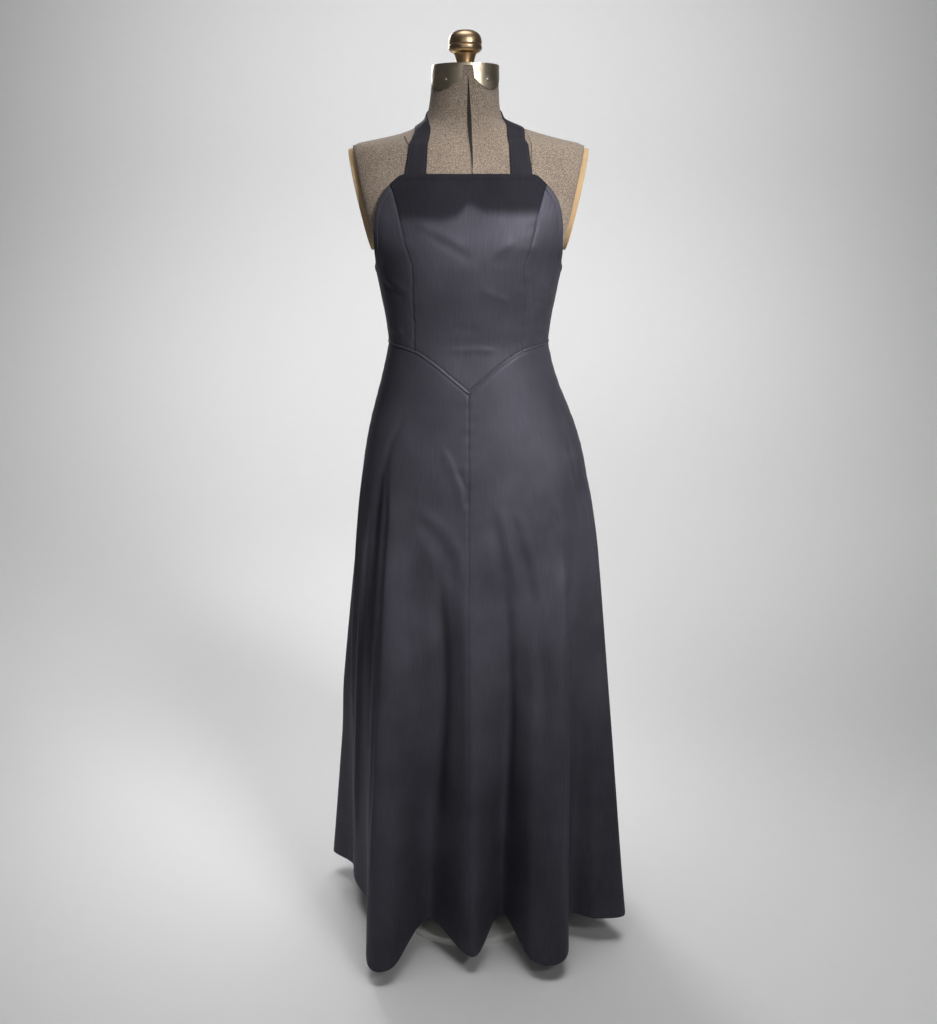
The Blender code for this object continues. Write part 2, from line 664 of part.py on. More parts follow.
def make_neck_cap(material, parent):
    """The metal cap on the neck, its top plate and its flaps in one sheet."""
    angles = np.arange(0, TURN, TURN / CAP_COLUMNS)

    def ring(drop, lift):
        height = NECK_TOP - (NECK_TOP - cap_edge(angles)) * drop
        points = form_point(angles, height) + lift * outward(form_point, angles, height)
        if drop == 0:
            points[:, 2] = NECK_TOP + lift
        return points

    drops = (0.0, 0.35, 0.7, 1.0)
    inner = [ring(drop, CAP_LIFT) for drop in drops]
    outer = [ring(drop, CAP_LIFT + CAP_THICKNESS) for drop in reversed(drops)]
    loft("form_neck_cap", inner + outer, material, parent)


def lathe(name, profile, segments, material, parent):
    """A solid turned about the Z axis from its outline, which starts and ends on the axis."""
    bm = bmesh.new()
    verts = [bm.verts.new((point.radius, 0, point.height)) for point in profile]
    edges = [bm.edges.new(pair) for pair in zip(verts, verts[1:])]
    bmesh.ops.spin(
        bm, geom=verts + edges, cent=(0, 0, 0), axis=(0, 0, 1), angle=2 * math.pi, steps=segments,
        use_merge=True,
    )
    bmesh.ops.remove_doubles(bm, verts=bm.verts[:], dist=1e-6)
    bmesh.ops.recalc_face_normals(bm, faces=bm.faces[:])
    return finish_mesh(bm, name, material, parent)


def make_knob(material, parent):
    """The turned knob on the neck cap: a flared stem, a grooved rim and a dome."""
    knob = lathe("form_knob", KNOB_PROFILE, 24, material, parent)
    knob.location = (NECK_MIDDLE, 0, KNOB_BOTTOM)


def make_stand(pole_material, foot_material, parent):
    """The pole under the form, with its flange, and the round foot with its socket."""
    flange_radius, flange_thickness = POLE_FLANGE
    pole_top = FORM_BOTTOM - FIT_GAP
    socket_floor = FOOT_HEIGHT - FOOT_SOCKET_DEPTH
    pole = [
        TurnedPoint(0, socket_floor + FIT_GAP),
        TurnedPoint(POLE_RADIUS, socket_floor + FIT_GAP),
        TurnedPoint(POLE_RADIUS, pole_top - 3 * flange_thickness),
        TurnedPoint(1.6 * POLE_RADIUS, pole_top - flange_thickness),
        TurnedPoint(flange_radius, pole_top - flange_thickness),
        TurnedPoint(flange_radius, pole_top),
        TurnedPoint(0, pole_top),
    ]
    lathe("stand_pole", pole, 20, pole_material, parent)
    socket_radius = POLE_RADIUS + FIT_GAP
    foot = [
        TurnedPoint(0, 0),
        TurnedPoint(FOOT_RADIUS, 0),
        TurnedPoint(FOOT_RADIUS, 0.010),
        TurnedPoint(FOOT_RADIUS - 0.004, 0.014),
        TurnedPoint(0.060, 0.022),
        TurnedPoint(0.027, 0.029),
        TurnedPoint(0.022, 0.036),
        TurnedPoint(0.022, FOOT_HEIGHT),
        TurnedPoint(socket_radius, FOOT_HEIGHT),
        TurnedPoint(socket_radius, socket_floor),
        TurnedPoint(0, socket_floor),
    ]
    lathe("stand_foot", foot, 36, foot_material, parent)


def make_material(name, colour, roughness, metallic=0.0):
    """A plain surface with its colour, roughness and metallic value."""
    material = bpy.data.materials.new(name)
    material.use_nodes = True
    shader = material.node_tree.nodes["Principled BSDF"]
    shader.inputs["Base Color"].default_value = (*colour, 1.0)
    shader.inputs["Roughness"].default_value = roughness
    shader.inputs["Metallic"].default_value = metallic
    return material


def make_group(name):
    """An empty that its pieces hang from."""
    group = bpy.data.objects.new(name, None)
    bpy.context.scene.collection.objects.link(group)
    return group


def main():
    """Clears the scene and builds the dress, its zip, the form and the stand."""
    for old in list(bpy.data.objects):
        bpy.data.objects.remove(old)
    satin = make_material("black_satin", (0.020, 0.021, 0.028), 0.45)
    jersey = make_material("flecked_jersey", (0.24, 0.20, 0.17), 0.95)
    board = make_material("tan_board", (0.48, 0.33, 0.17), 0.8)
    brass = make_material("brass", (0.62, 0.47, 0.25), 0.3, 1.0)
    zip_cloth = make_material("zip_tape", (0.015, 0.015, 0.018), 0.7)
    zip_metal = make_material("zip_metal", (0.06, 0.06, 0.065), 0.35, 1.0)
    steel = make_material("steel_tube", (0.55, 0.55, 0.56), 0.3, 1.0)
    enamel = make_material("cream_enamel", (0.75, 0.74, 0.70), 0.4)

    dress = make_group("dress")
    make_bodice(satin, dress)
    make_skirt(satin, dress)
    make_strap(satin, dress)
    make_zip_chain(zip_cloth, dress)
    make_slider(zip_metal, dress)
    make_pull(zip_metal, dress)

    form = make_group("dress_form")
    make_torso(jersey, form)
    make_arm_plates(board, form)
    make_neck_cap(brass, form)
    make_knob(brass, form)
    make_stand(steel, enamel, form)


main()
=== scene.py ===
"""Looks of the black satin halter dress on its dress form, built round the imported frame.

Metres, +Z up. The front faces -Y, and left and right are as seen from the front. Angles run round the
body from the middle of the front, towards +X, in degrees.
"""

import logging
import math
from collections.abc import Callable, Sequence
from dataclasses import dataclass
from enum import Enum
from typing import NamedTuple

import bmesh
import bpy
import numpy as np
from mathutils import Matrix, Vector


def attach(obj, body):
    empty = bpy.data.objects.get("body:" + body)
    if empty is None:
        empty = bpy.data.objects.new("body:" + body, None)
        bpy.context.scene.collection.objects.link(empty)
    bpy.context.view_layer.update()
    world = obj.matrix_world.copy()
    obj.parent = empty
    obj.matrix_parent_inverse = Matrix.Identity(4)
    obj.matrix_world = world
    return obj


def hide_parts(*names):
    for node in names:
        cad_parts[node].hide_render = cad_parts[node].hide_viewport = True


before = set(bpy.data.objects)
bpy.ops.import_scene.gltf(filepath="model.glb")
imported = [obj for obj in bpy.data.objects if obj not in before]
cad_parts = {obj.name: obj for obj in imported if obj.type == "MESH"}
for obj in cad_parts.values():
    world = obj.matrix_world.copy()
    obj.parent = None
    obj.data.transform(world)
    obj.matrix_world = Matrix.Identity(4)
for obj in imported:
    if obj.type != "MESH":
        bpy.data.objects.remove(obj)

LOG = logging.getLogger("halter_dress")
DRESS_BODY = "dress_and_form"
PULL_BODY = "zip_pull_tab"
TURN = 360.0
FRONT, SIDE, BACK = 0.0, 90.0, 180.0
UV_NAME = "cloth_grain"
# the satin's darkening: painted shade on the upper centre front and on the skirt's gores, and a darker strap
DARKENING_NAME = "cloth_darkening"

Array = np.ndarray
Colour = tuple[float, float, float]
Surface = Callable[[Array, Array], Array]
Place = Callable[[Array, Array], tuple[Array, Array]]


class Section(NamedTuple):
    """A level of a body: half widths, depths in front of and behind the axis, and squareness."""

    height: float
    left: float
    right: float
    front: float
    back: float
    power: float


class EdgePoint(NamedTuple):
    """A point of an edge or seam."""

    angle: float
    height: float


class Fold(NamedTuple):
    """A crest or hollow of the skirt: where it leaves the hip, and its point at the hem."""

    angle: float
    hem_x: float
    hem_y: float
    hem_z: float
    start: float


class StrapStation(NamedTuple):
    """The strap's two edges at one place along its right half."""

    along: float
    inner_x: float
    inner_y: float
    inner_z: float
    outer_x: float
    outer_y: float
    outer_z: float


class TurnedPoint(NamedTuple):
    """A point of a turned piece's outline."""

    radius: float
    height: float


class Crease(NamedTuple):
    """A soft ridge or trough along a line of (angle, height) points, with its widths to each side."""

    line: tuple[tuple[float, float], ...]
    left_width: float
    right_width: float
    rise: float


class GapPoint(NamedTuple):
    """A point of one of the form's narrow gaps."""

    x: float
    height: float
    half_width: float


FORM_SECTIONS = [
    Section(0.740, 0.1660, 0.1660, 0.1100, 0.1190, 2.2),
    Section(0.760, 0.1660, 0.1660, 0.1100, 0.1190, 2.2),
    Section(0.830, 0.1620, 0.1620, 0.1085, 0.1155, 2.2),
    Section(0.900, 0.1500, 0.1500, 0.1040, 0.1035, 2.2),
    Section(0.960, 0.1360, 0.1360, 0.0975, 0.0880, 2.25),
    Section(1.030, 0.1225, 0.1225, 0.0930, 0.0770, 2.3),
    Section(1.062, 0.1255, 0.1255, 0.0990, 0.0790, 2.3),
    Section(1.099, 0.1320, 0.1320, 0.1080, 0.0830, 2.35),
    Section(1.136, 0.1390, 0.1390, 0.1170, 0.0880, 2.4),
    Section(1.152, 0.1430, 0.1430, 0.1195, 0.0900, 2.4),
    Section(1.173, 0.1560, 0.1560, 0.1200, 0.0925, 2.4),
    Section(1.209, 0.1740, 0.1740, 0.1150, 0.0960, 2.3),
    Section(1.245, 0.1870, 0.1870, 0.1045, 0.0980, 2.2),
    Section(1.281, 0.1960, 0.1960, 0.0915, 0.0960, 2.1),
    Section(1.305, 0.2000, 0.2000, 0.0820, 0.0900, 2.0),
    Section(1.322, 0.1940, 0.1940, 0.0730, 0.0810, 2.0),
    Section(1.332, 0.1500, 0.1500, 0.0655, 0.0730, 2.0),
    Section(1.342, 0.1030, 0.1100, 0.0595, 0.0665, 2.0),
    Section(1.352, 0.0785, 0.0770, 0.0555, 0.0620, 2.0),
    Section(1.364, 0.0645, 0.0520, 0.0530, 0.0575, 2.0),
    Section(1.385, 0.0590, 0.0465, 0.0515, 0.0530, 2.0),
    Section(1.437, 0.0530, 0.0445, 0.0495, 0.0495, 2.0),
]

SKIRT_SECTIONS = [
    Section(0.000, 0.2240, 0.2380, 0.1670, 0.1920, 2.0),
    Section(0.040, 0.2220, 0.2360, 0.1650, 0.1900, 2.0),
    Section(0.420, 0.2060, 0.2250, 0.1420, 0.1580, 2.05),
    Section(0.682, 0.1880, 0.2140, 0.1240, 0.1360, 2.15),
    Section(0.766, 0.1795, 0.2040, 0.1190, 0.1280, 2.2),
    Section(0.807, 0.1750, 0.1950, 0.1175, 0.1250, 2.2),
    Section(0.847, 0.1695, 0.1870, 0.1150, 0.1210, 2.2),
    Section(0.887, 0.1620, 0.1755, 0.1120, 0.1140, 2.2),
    Section(0.927, 0.1520, 0.1600, 0.1080, 0.1045, 2.2),
    Section(0.966, 0.1410, 0.1435, 0.1035, 0.0935, 2.25),
    Section(1.005, 0.1315, 0.1315, 0.0990, 0.0845, 2.3),
]

TOP_EDGE = [
    EdgePoint(0.0, 1.2825),
    EdgePoint(27.0, 1.2825),
    EdgePoint(29.5, 1.2805),
    EdgePoint(32.3, 1.2745),
    EdgePoint(36.0, 1.2650),
    EdgePoint(39.5, 1.2545),
    EdgePoint(43.0, 1.2400),
    EdgePoint(46.0, 1.2245),
    EdgePoint(49.0, 1.2060),
    EdgePoint(52.0, 1.1900),
    EdgePoint(56.0, 1.1750),
    EdgePoint(62.0, 1.1620),
    EdgePoint(70.0, 1.1515),
    EdgePoint(80.0, 1.1460),
    EdgePoint(90.0, 1.1440),
    EdgePoint(120.0, 1.1380),
    EdgePoint(150.0, 1.1220),
    EdgePoint(180.0, 1.1080),
]

WAIST_SEAM = [
    EdgePoint(0.0, 0.9600),
    EdgePoint(13.4, 0.9857),
    EdgePoint(25.5, 1.0060),
    EdgePoint(40.2, 1.0215),
    EdgePoint(60.0, 1.0270),
    EdgePoint(90.0, 1.0290),
    EdgePoint(180.0, 1.0290),
]

PRINCESS_SEAM = [
    EdgePoint(39.3, 1.020),
    EdgePoint(36.1, 1.095),
    EdgePoint(32.4, 1.165),
    EdgePoint(32.3, 1.215),
    EdgePoint(33.8, 1.255),
    EdgePoint(35.2, 1.270),
]

FOLDS = [
    Fold(-166.0, -0.048, 0.238, 0.040, 0.72),
    Fold(-152.0, -0.098, 0.157, 0.050, 0.66),
    Fold(-138.0, -0.168, 0.206, 0.040, 0.70),
    Fold(-121.0, -0.190, 0.128, 0.050, 0.66),
    Fold(-104.0, -0.2585, 0.093, 0.045, 0.80),
    Fold(-90.0, -0.217, 0.040, 0.050, 0.66),
    Fold(-78.0, -0.208, -0.010, 0.050, 0.62),
    Fold(-64.0, -0.173, -0.096, 0.048, 0.74),
    Fold(-50.0, -0.169, -0.214, 0.030, 0.85),
    Fold(-34.0, -0.126, -0.229, 0.030, 0.80),
    Fold(-16.0, -0.070, -0.135, 0.055, 0.68),
    Fold(3.0, 0.012, -0.203, 0.033, 0.74),
    Fold(16.0, 0.056, -0.119, 0.055, 0.70),
    Fold(30.0, 0.104, -0.211, 0.032, 0.74),
    Fold(46.0, 0.166, -0.200, 0.034, 0.80),
    Fold(57.0, 0.172, -0.112, 0.047, 0.70),
    Fold(68.0, 0.222, -0.120, 0.046, 0.72),
    Fold(79.0, 0.272, -0.110, 0.046, 0.82),
    Fold(98.0, 0.222, -0.004, 0.050, 0.62),
    Fold(116.0, 0.248, 0.088, 0.045, 0.70),
    Fold(129.0, 0.187, 0.122, 0.050, 0.66),
    Fold(143.0, 0.176, 0.206, 0.040, 0.70),
    Fold(155.0, 0.112, 0.152, 0.050, 0.66),
    Fold(168.0, 0.080, 0.236, 0.040, 0.72),
    Fold(181.0, 0.016, 0.158, 0.050, 0.66),
]

STRAP_ROUTE = [
    StrapStation(0.00, 0.0605, -0.0930, 1.2620, 0.0895, -0.0870, 1.2620),
    StrapStation(0.12, 0.0608, -0.0860, 1.2840, 0.0915, -0.0795, 1.2840),
    StrapStation(0.24, 0.0595, -0.0750, 1.3110, 0.0885, -0.0710, 1.3090),
    StrapStation(0.34, 0.0575, -0.0620, 1.3300, 0.0850, -0.0602, 1.3270),
    StrapStation(0.43, 0.0563, -0.0490, 1.3435, 0.0830, -0.0485, 1.3365),
    StrapStation(0.53, 0.0565, -0.0302, 1.3570, 0.0815, -0.0300, 1.3455),
    StrapStation(0.65, 0.0570, 0.0000, 1.3720, 0.0780, 0.0000, 1.3520),
    StrapStation(0.78, 0.0470, 0.0310, 1.3830, 0.0580, 0.0380, 1.3590),
    StrapStation(0.90, 0.0240, 0.0480, 1.3880, 0.0280, 0.0550, 1.3630),
    StrapStation(1.00, 0.0000, 0.0520, 1.3890, 0.0000, 0.0600, 1.3640),
]

# Drag lines, pleat edges and small wrinkles: those of the front first, then the hidden sides
CREASES = [
    # the sharp pleat at the left, its hollow and the thin ridge beyond
    Crease(((-44.5, 0.885), (-41.0, 0.758), (-42.0, 0.656), (-42.5, 0.539), (-43.5, 0.437),
            (-44.5, 0.305), (-46.5, 0.203), (-48.0, 0.110)), 0.006, 0.026, 0.0042),
    Crease(((-50.0, 0.875), (-52.0, 0.760), (-53.5, 0.600), (-55.5, 0.400), (-57.0, 0.200)),
           0.016, 0.010, -0.0052),
    Crease(((-60.0, 0.800), (-63.0, 0.640), (-67.0, 0.503), (-71.5, 0.311), (-76.0, 0.116)),
           0.010, 0.005, 0.0036),
    # the sharp pleat at the right and its hollow
    Crease(((43.0, 0.760), (44.0, 0.671), (44.0, 0.587), (43.0, 0.431), (42.5, 0.299),
            (41.5, 0.200), (41.0, 0.100)), 0.022, 0.005, 0.0046),
    Crease(((49.0, 0.740), (50.0, 0.600), (50.5, 0.430), (51.0, 0.300), (51.5, 0.120)),
           0.009, 0.014, -0.0060),
    # folds of the middle
    Crease(((-16.0, 0.700), (-12.0, 0.560), (-11.5, 0.464), (-13.0, 0.330), (-15.0, 0.200)),
           0.014, 0.012, -0.0050),
    Crease(((-4.0, 0.690), (-1.5, 0.560), (0.5, 0.464), (2.0, 0.300)), 0.016, 0.016, 0.0024),
    Crease(((14.0, 0.700), (16.5, 0.600), (17.5, 0.464), (17.0, 0.300), (16.0, 0.180)),
           0.012, 0.010, -0.0046),
    # drag lines between hip and thigh
    Crease(((-16.0, 0.885), (-10.5, 0.862), (-3.5, 0.815), (-3.0, 0.775)), 0.009, 0.005, 0.0010),
    Crease(((-7.0, 0.850), (-1.5, 0.815), (-0.5, 0.780)), 0.005, 0.006, -0.0009),
    Crease(((-30.0, 0.790), (-22.0, 0.772), (-9.5, 0.742), (-4.0, 0.705), (-4.0, 0.660)),
           0.012, 0.010, 0.0011),
    Crease(((-28.0, 0.765), (-18.0, 0.742), (-9.0, 0.700), (-7.5, 0.650)), 0.014, 0.011, -0.0013),
    Crease(((-22.0, 0.735), (-17.0, 0.690), (-15.0, 0.620)), 0.010, 0.010, 0.0008),
    Crease(((11.0, 0.800), (15.0, 0.764), (20.5, 0.662), (22.0, 0.620)), 0.008, 0.011, 0.0012),
    Crease(((9.0, 0.775), (12.0, 0.735), (15.5, 0.660)), 0.010, 0.008, -0.0011),
    Crease(((18.0, 0.790), (23.5, 0.758), (30.0, 0.677), (32.5, 0.600)), 0.009, 0.010, 0.0013),
    Crease(((19.0, 0.745), (24.0, 0.690), (26.5, 0.630)), 0.009, 0.008, -0.0011),
    Crease(((38.0, 0.800), (42.5, 0.776), (49.0, 0.704), (50.0, 0.620)), 0.007, 0.008, 0.0014),
    Crease(((36.0, 0.760), (40.0, 0.715), (43.0, 0.660)), 0.008, 0.007, -0.0010),
    Crease(((60.0, 0.940), (62.5, 0.914), (63.0, 0.836), (62.0, 0.800)), 0.005, 0.005, 0.0013),
    Crease(((53.0, 0.875), (56.5, 0.839), (59.5, 0.767), (60.0, 0.720)), 0.005, 0.006, 0.0016),
    Crease(((58.0, 0.880), (60.0, 0.830), (61.0, 0.770)), 0.005, 0.005, -0.0013),
    Crease(((68.0, 0.860), (70.0, 0.780), (71.0, 0.700), (72.0, 0.560)), 0.008, 0.006, 0.0022),
    Crease(((-38.0, 0.930), (-46.0, 0.880), (-50.0, 0.820)), 0.007, 0.007, -0.0011),
    Crease(((30.0, 0.600), (33.0, 0.500), (34.0, 0.380)), 0.012, 0.012, -0.0020),
    Crease(((-30.0, 0.620), (-29.0, 0.500), (-30.0, 0.350)), 0.014, 0.014, -0.0022),
    # the bodice
    Crease(((-26.0, 1.216), (-22.0, 1.211), (-11.0, 1.193), (0.0, 1.175)), 0.007, 0.009, 0.0008),
    Crease(((-20.0, 1.196), (-8.0, 1.178), (2.0, 1.160)), 0.008, 0.008, -0.0007),
    Crease(((6.0, 1.120), (10.5, 1.115), (22.0, 1.103), (28.0, 1.100)), 0.005, 0.006, 0.0008),
    Crease(((24.0, 1.190), (14.0, 1.172), (6.0, 1.150)), 0.008, 0.008, 0.0007),
    Crease(((-60.0, 1.136), (-55.5, 1.130), (-47.0, 1.124), (-38.5, 1.118)), 0.004, 0.005, 0.0011),
    Crease(((-62.0, 1.122), (-50.0, 1.112), (-41.0, 1.106)), 0.004, 0.005, -0.0010),
    Crease(((44.0, 1.126), (52.0, 1.118), (64.0, 1.112)), 0.005, 0.005, 0.0010),
    Crease(((42.0, 1.100), (54.0, 1.094), (66.0, 1.090)), 0.005, 0.006, -0.0009),
    Crease(((-16.0, 1.022), (-9.0, 1.026), (6.0, 1.028), (20.5, 1.025)), 0.005, 0.005, 0.0008),
    Crease(((-24.0, 1.052), (-8.0, 1.060), (10.0, 1.056)), 0.006, 0.006, -0.0006),
    Crease(((-70.0, 1.060), (-58.0, 1.052), (-46.0, 1.048)), 0.005, 0.006, 0.0008),
    Crease(((50.0, 1.058), (62.0, 1.050), (76.0, 1.048)), 0.005, 0.006, 0.0008),
    # the back and the sides
    Crease(((100.0, 0.900), (104.0, 0.820), (110.0, 0.740), (114.0, 0.600)), 0.008, 0.008, 0.0024),
    Crease(((96.0, 0.860), (98.0, 0.740), (99.0, 0.560)), 0.010, 0.010, -0.0030),
    Crease(((150.0, 0.880), (146.0, 0.800), (143.0, 0.700), (142.0, 0.520), (143.0, 0.250)),
           0.007, 0.022, 0.0040),
    Crease(((135.0, 0.800), (133.0, 0.660), (131.0, 0.480), (130.0, 0.250)), 0.014, 0.010, -0.0046),
    Crease(((166.0, 0.860), (168.0, 0.740), (169.0, 0.600), (168.0, 0.350)), 0.018, 0.006, 0.0036),
    Crease(((160.0, 0.780), (158.0, 0.640), (156.0, 0.400)), 0.012, 0.010, -0.0036),
    Crease(((-168.0, 0.850), (-166.0, 0.720), (-166.0, 0.560), (-166.0, 0.300)), 0.016, 0.007, 0.0036),
    Crease(((-158.0, 0.780), (-154.0, 0.620), (-152.0, 0.380)), 0.012, 0.010, -0.0040),
    Crease(((-148.0, 0.880), (-142.0, 0.800), (-139.0, 0.660), (-138.0, 0.420), (-138.0, 0.200)),
           0.006, 0.020, 0.0042),
    Crease(((-126.0, 0.800), (-123.0, 0.640), (-121.0, 0.420)), 0.012, 0.012, -0.0044),
    Crease(((-110.0, 0.880), (-106.0, 0.780), (-104.0, 0.600), (-104.0, 0.300)), 0.010, 0.018, 0.0034),
    Crease(((-92.0, 0.800), (-90.0, 0.640), (-90.0, 0.400)), 0.012, 0.010, -0.0034),
    Crease(((-80.0, 0.860), (-78.0, 0.740), (-78.0, 0.560), (-79.0, 0.350)), 0.008, 0.012, 0.0020),
    Crease(((120.0, 1.085), (136.0, 1.078), (150.0, 1.076)), 0.005, 0.006, 0.0008),
    Crease(((-150.0, 1.088), (-134.0, 1.080), (-118.0, 1.078)), 0.005, 0.006, 0.0008),
    Crease(((112.0, 1.056), (130.0, 1.050), (152.0, 1.052)), 0.006, 0.006, -0.0007),
    Crease(((-154.0, 1.056), (-130.0, 1.052), (-108.0, 1.054)), 0.006, 0.006, -0.0007),
]


def slopes_between(xs: Array, ys: Array, keep_monotone: bool) -> Array:
    """Slopes at the points of a smooth curve.

    Args:
        xs: places along the curve, rising.
        ys: values there.
        keep_monotone: whether the curve may not overshoot its points.

    Returns:
        One slope for each point.
    """
    steps = np.diff(xs)
    rises = np.diff(ys) / steps
    slopes = np.empty(len(xs))
    slopes[0], slopes[-1] = rises[0], rises[-1]
    if keep_monotone:
        same_way = rises[:-1] * rises[1:] > 0
        safe = np.where(same_way, rises[:-1] + rises[1:], 1.0)
        slopes[1:-1] = np.where(same_way, 2 * rises[:-1] * rises[1:] / safe, 0.0)
    else:
        slopes[1:-1] = (rises[:-1] * steps[1:] + rises[1:] * steps[:-1]) / (steps[:-1] + steps[1:])
    return slopes


def smooth_curve(xs: Sequence[float], ys: Sequence[float], x: Array, keep_monotone: bool = True) -> Array:
    """The smooth curve through points, held level past its ends.

    Args:
        xs: places along the curve, rising.
        ys: values there.
        x: where to read it.
        keep_monotone: whether the curve may not overshoot its points.

    Returns:
        The curve's values at x.
    """
    xs, ys = np.asarray(xs, float), np.asarray(ys, float)
    slopes = slopes_between(xs, ys, keep_monotone)
    x = np.clip(x, xs[0], xs[-1])
    i = np.clip(np.searchsorted(xs, x, side="right") - 1, 0, len(xs) - 2)
    width = xs[i + 1] - xs[i]
    t = (x - xs[i]) / width
    from_start = (1 + 2 * t) * (1 - t) ** 2 * ys[i] + t * (1 - t) ** 2 * width * slopes[i]
    from_end = t**2 * (3 - 2 * t) * ys[i + 1] + t**2 * (t - 1) * width * slopes[i + 1]
    return from_start + from_end


def read_column(rows: Sequence, key: str, column: str, x: Array, keep_monotone: bool = True) -> Array:
    """One named column of a table, as a smooth curve over its key column.

    Args:
        rows: the table.
        key: the column that rises down the table.
        column: the column to read.
        x: where to read it.
        keep_monotone: whether the curve may not overshoot its points.

    Returns:
        The column's values at x.
    """
    keys = [getattr(row, key) for row in rows]
    values = [getattr(row, column) for row in rows]
    return smooth_curve(keys, values, x, keep_monotone)


def bell(distance: Array, width: float | Array) -> Array:
    """A smooth bump of height 1 that fades over this width."""
    return np.exp(-((distance / width) ** 2))


def smooth_step(x: Array) -> Array:
    """0 below 0, 1 above 1 and smooth between."""
    x = np.clip(x, 0, 1)
    return x * x * (3 - 2 * x)


def ring_point(sections: Sequence[Section], angle: Array, height: Array) -> Array:
    """Points of a body's rounded cross-section.

    Args:
        sections: the body's table of levels.
        angle: angles round it, in degrees.
        height: heights.

    Returns:
        Points, one for each angle and height.
    """
    left, right, front, back, power = (
        read_column(sections, "height", column, height)
        for column in ("left", "right", "front", "back", "power")
    )
    sine, cosine = np.sin(np.radians(angle)), np.cos(np.radians(angle))
    swell = (np.abs(sine) ** power + np.abs(cosine) ** power) ** (-1 / power)
    across = np.where(sine >= 0, right, left) * sine * swell
    along = -np.where(cosine >= 0, front, back) * cosine * swell
    return np.stack([across, along, height + 0 * across], axis=-1)


def outward(surface: Surface, angle: Array, height: Array) -> Array:
    """Unit normals of a surface of angle and height.

    Args:
        surface: the surface.
        angle: angles, in degrees.
        height: heights.

    Returns:
        Normals that point away from the body.
    """
    turn, rise = 0.2, 0.0005
    round_it = surface(angle + turn, height) - surface(angle - turn, height)
    up = surface(angle, height + rise) - surface(angle, height - rise)
    normal = np.cross(round_it, up)
    return normal / np.linalg.norm(normal, axis=-1, keepdims=True)


def wrapped(turn: Array) -> Array:
    """A turn in degrees, brought into the half turn either way."""
    return (turn + TURN / 2) % TURN - TURN / 2


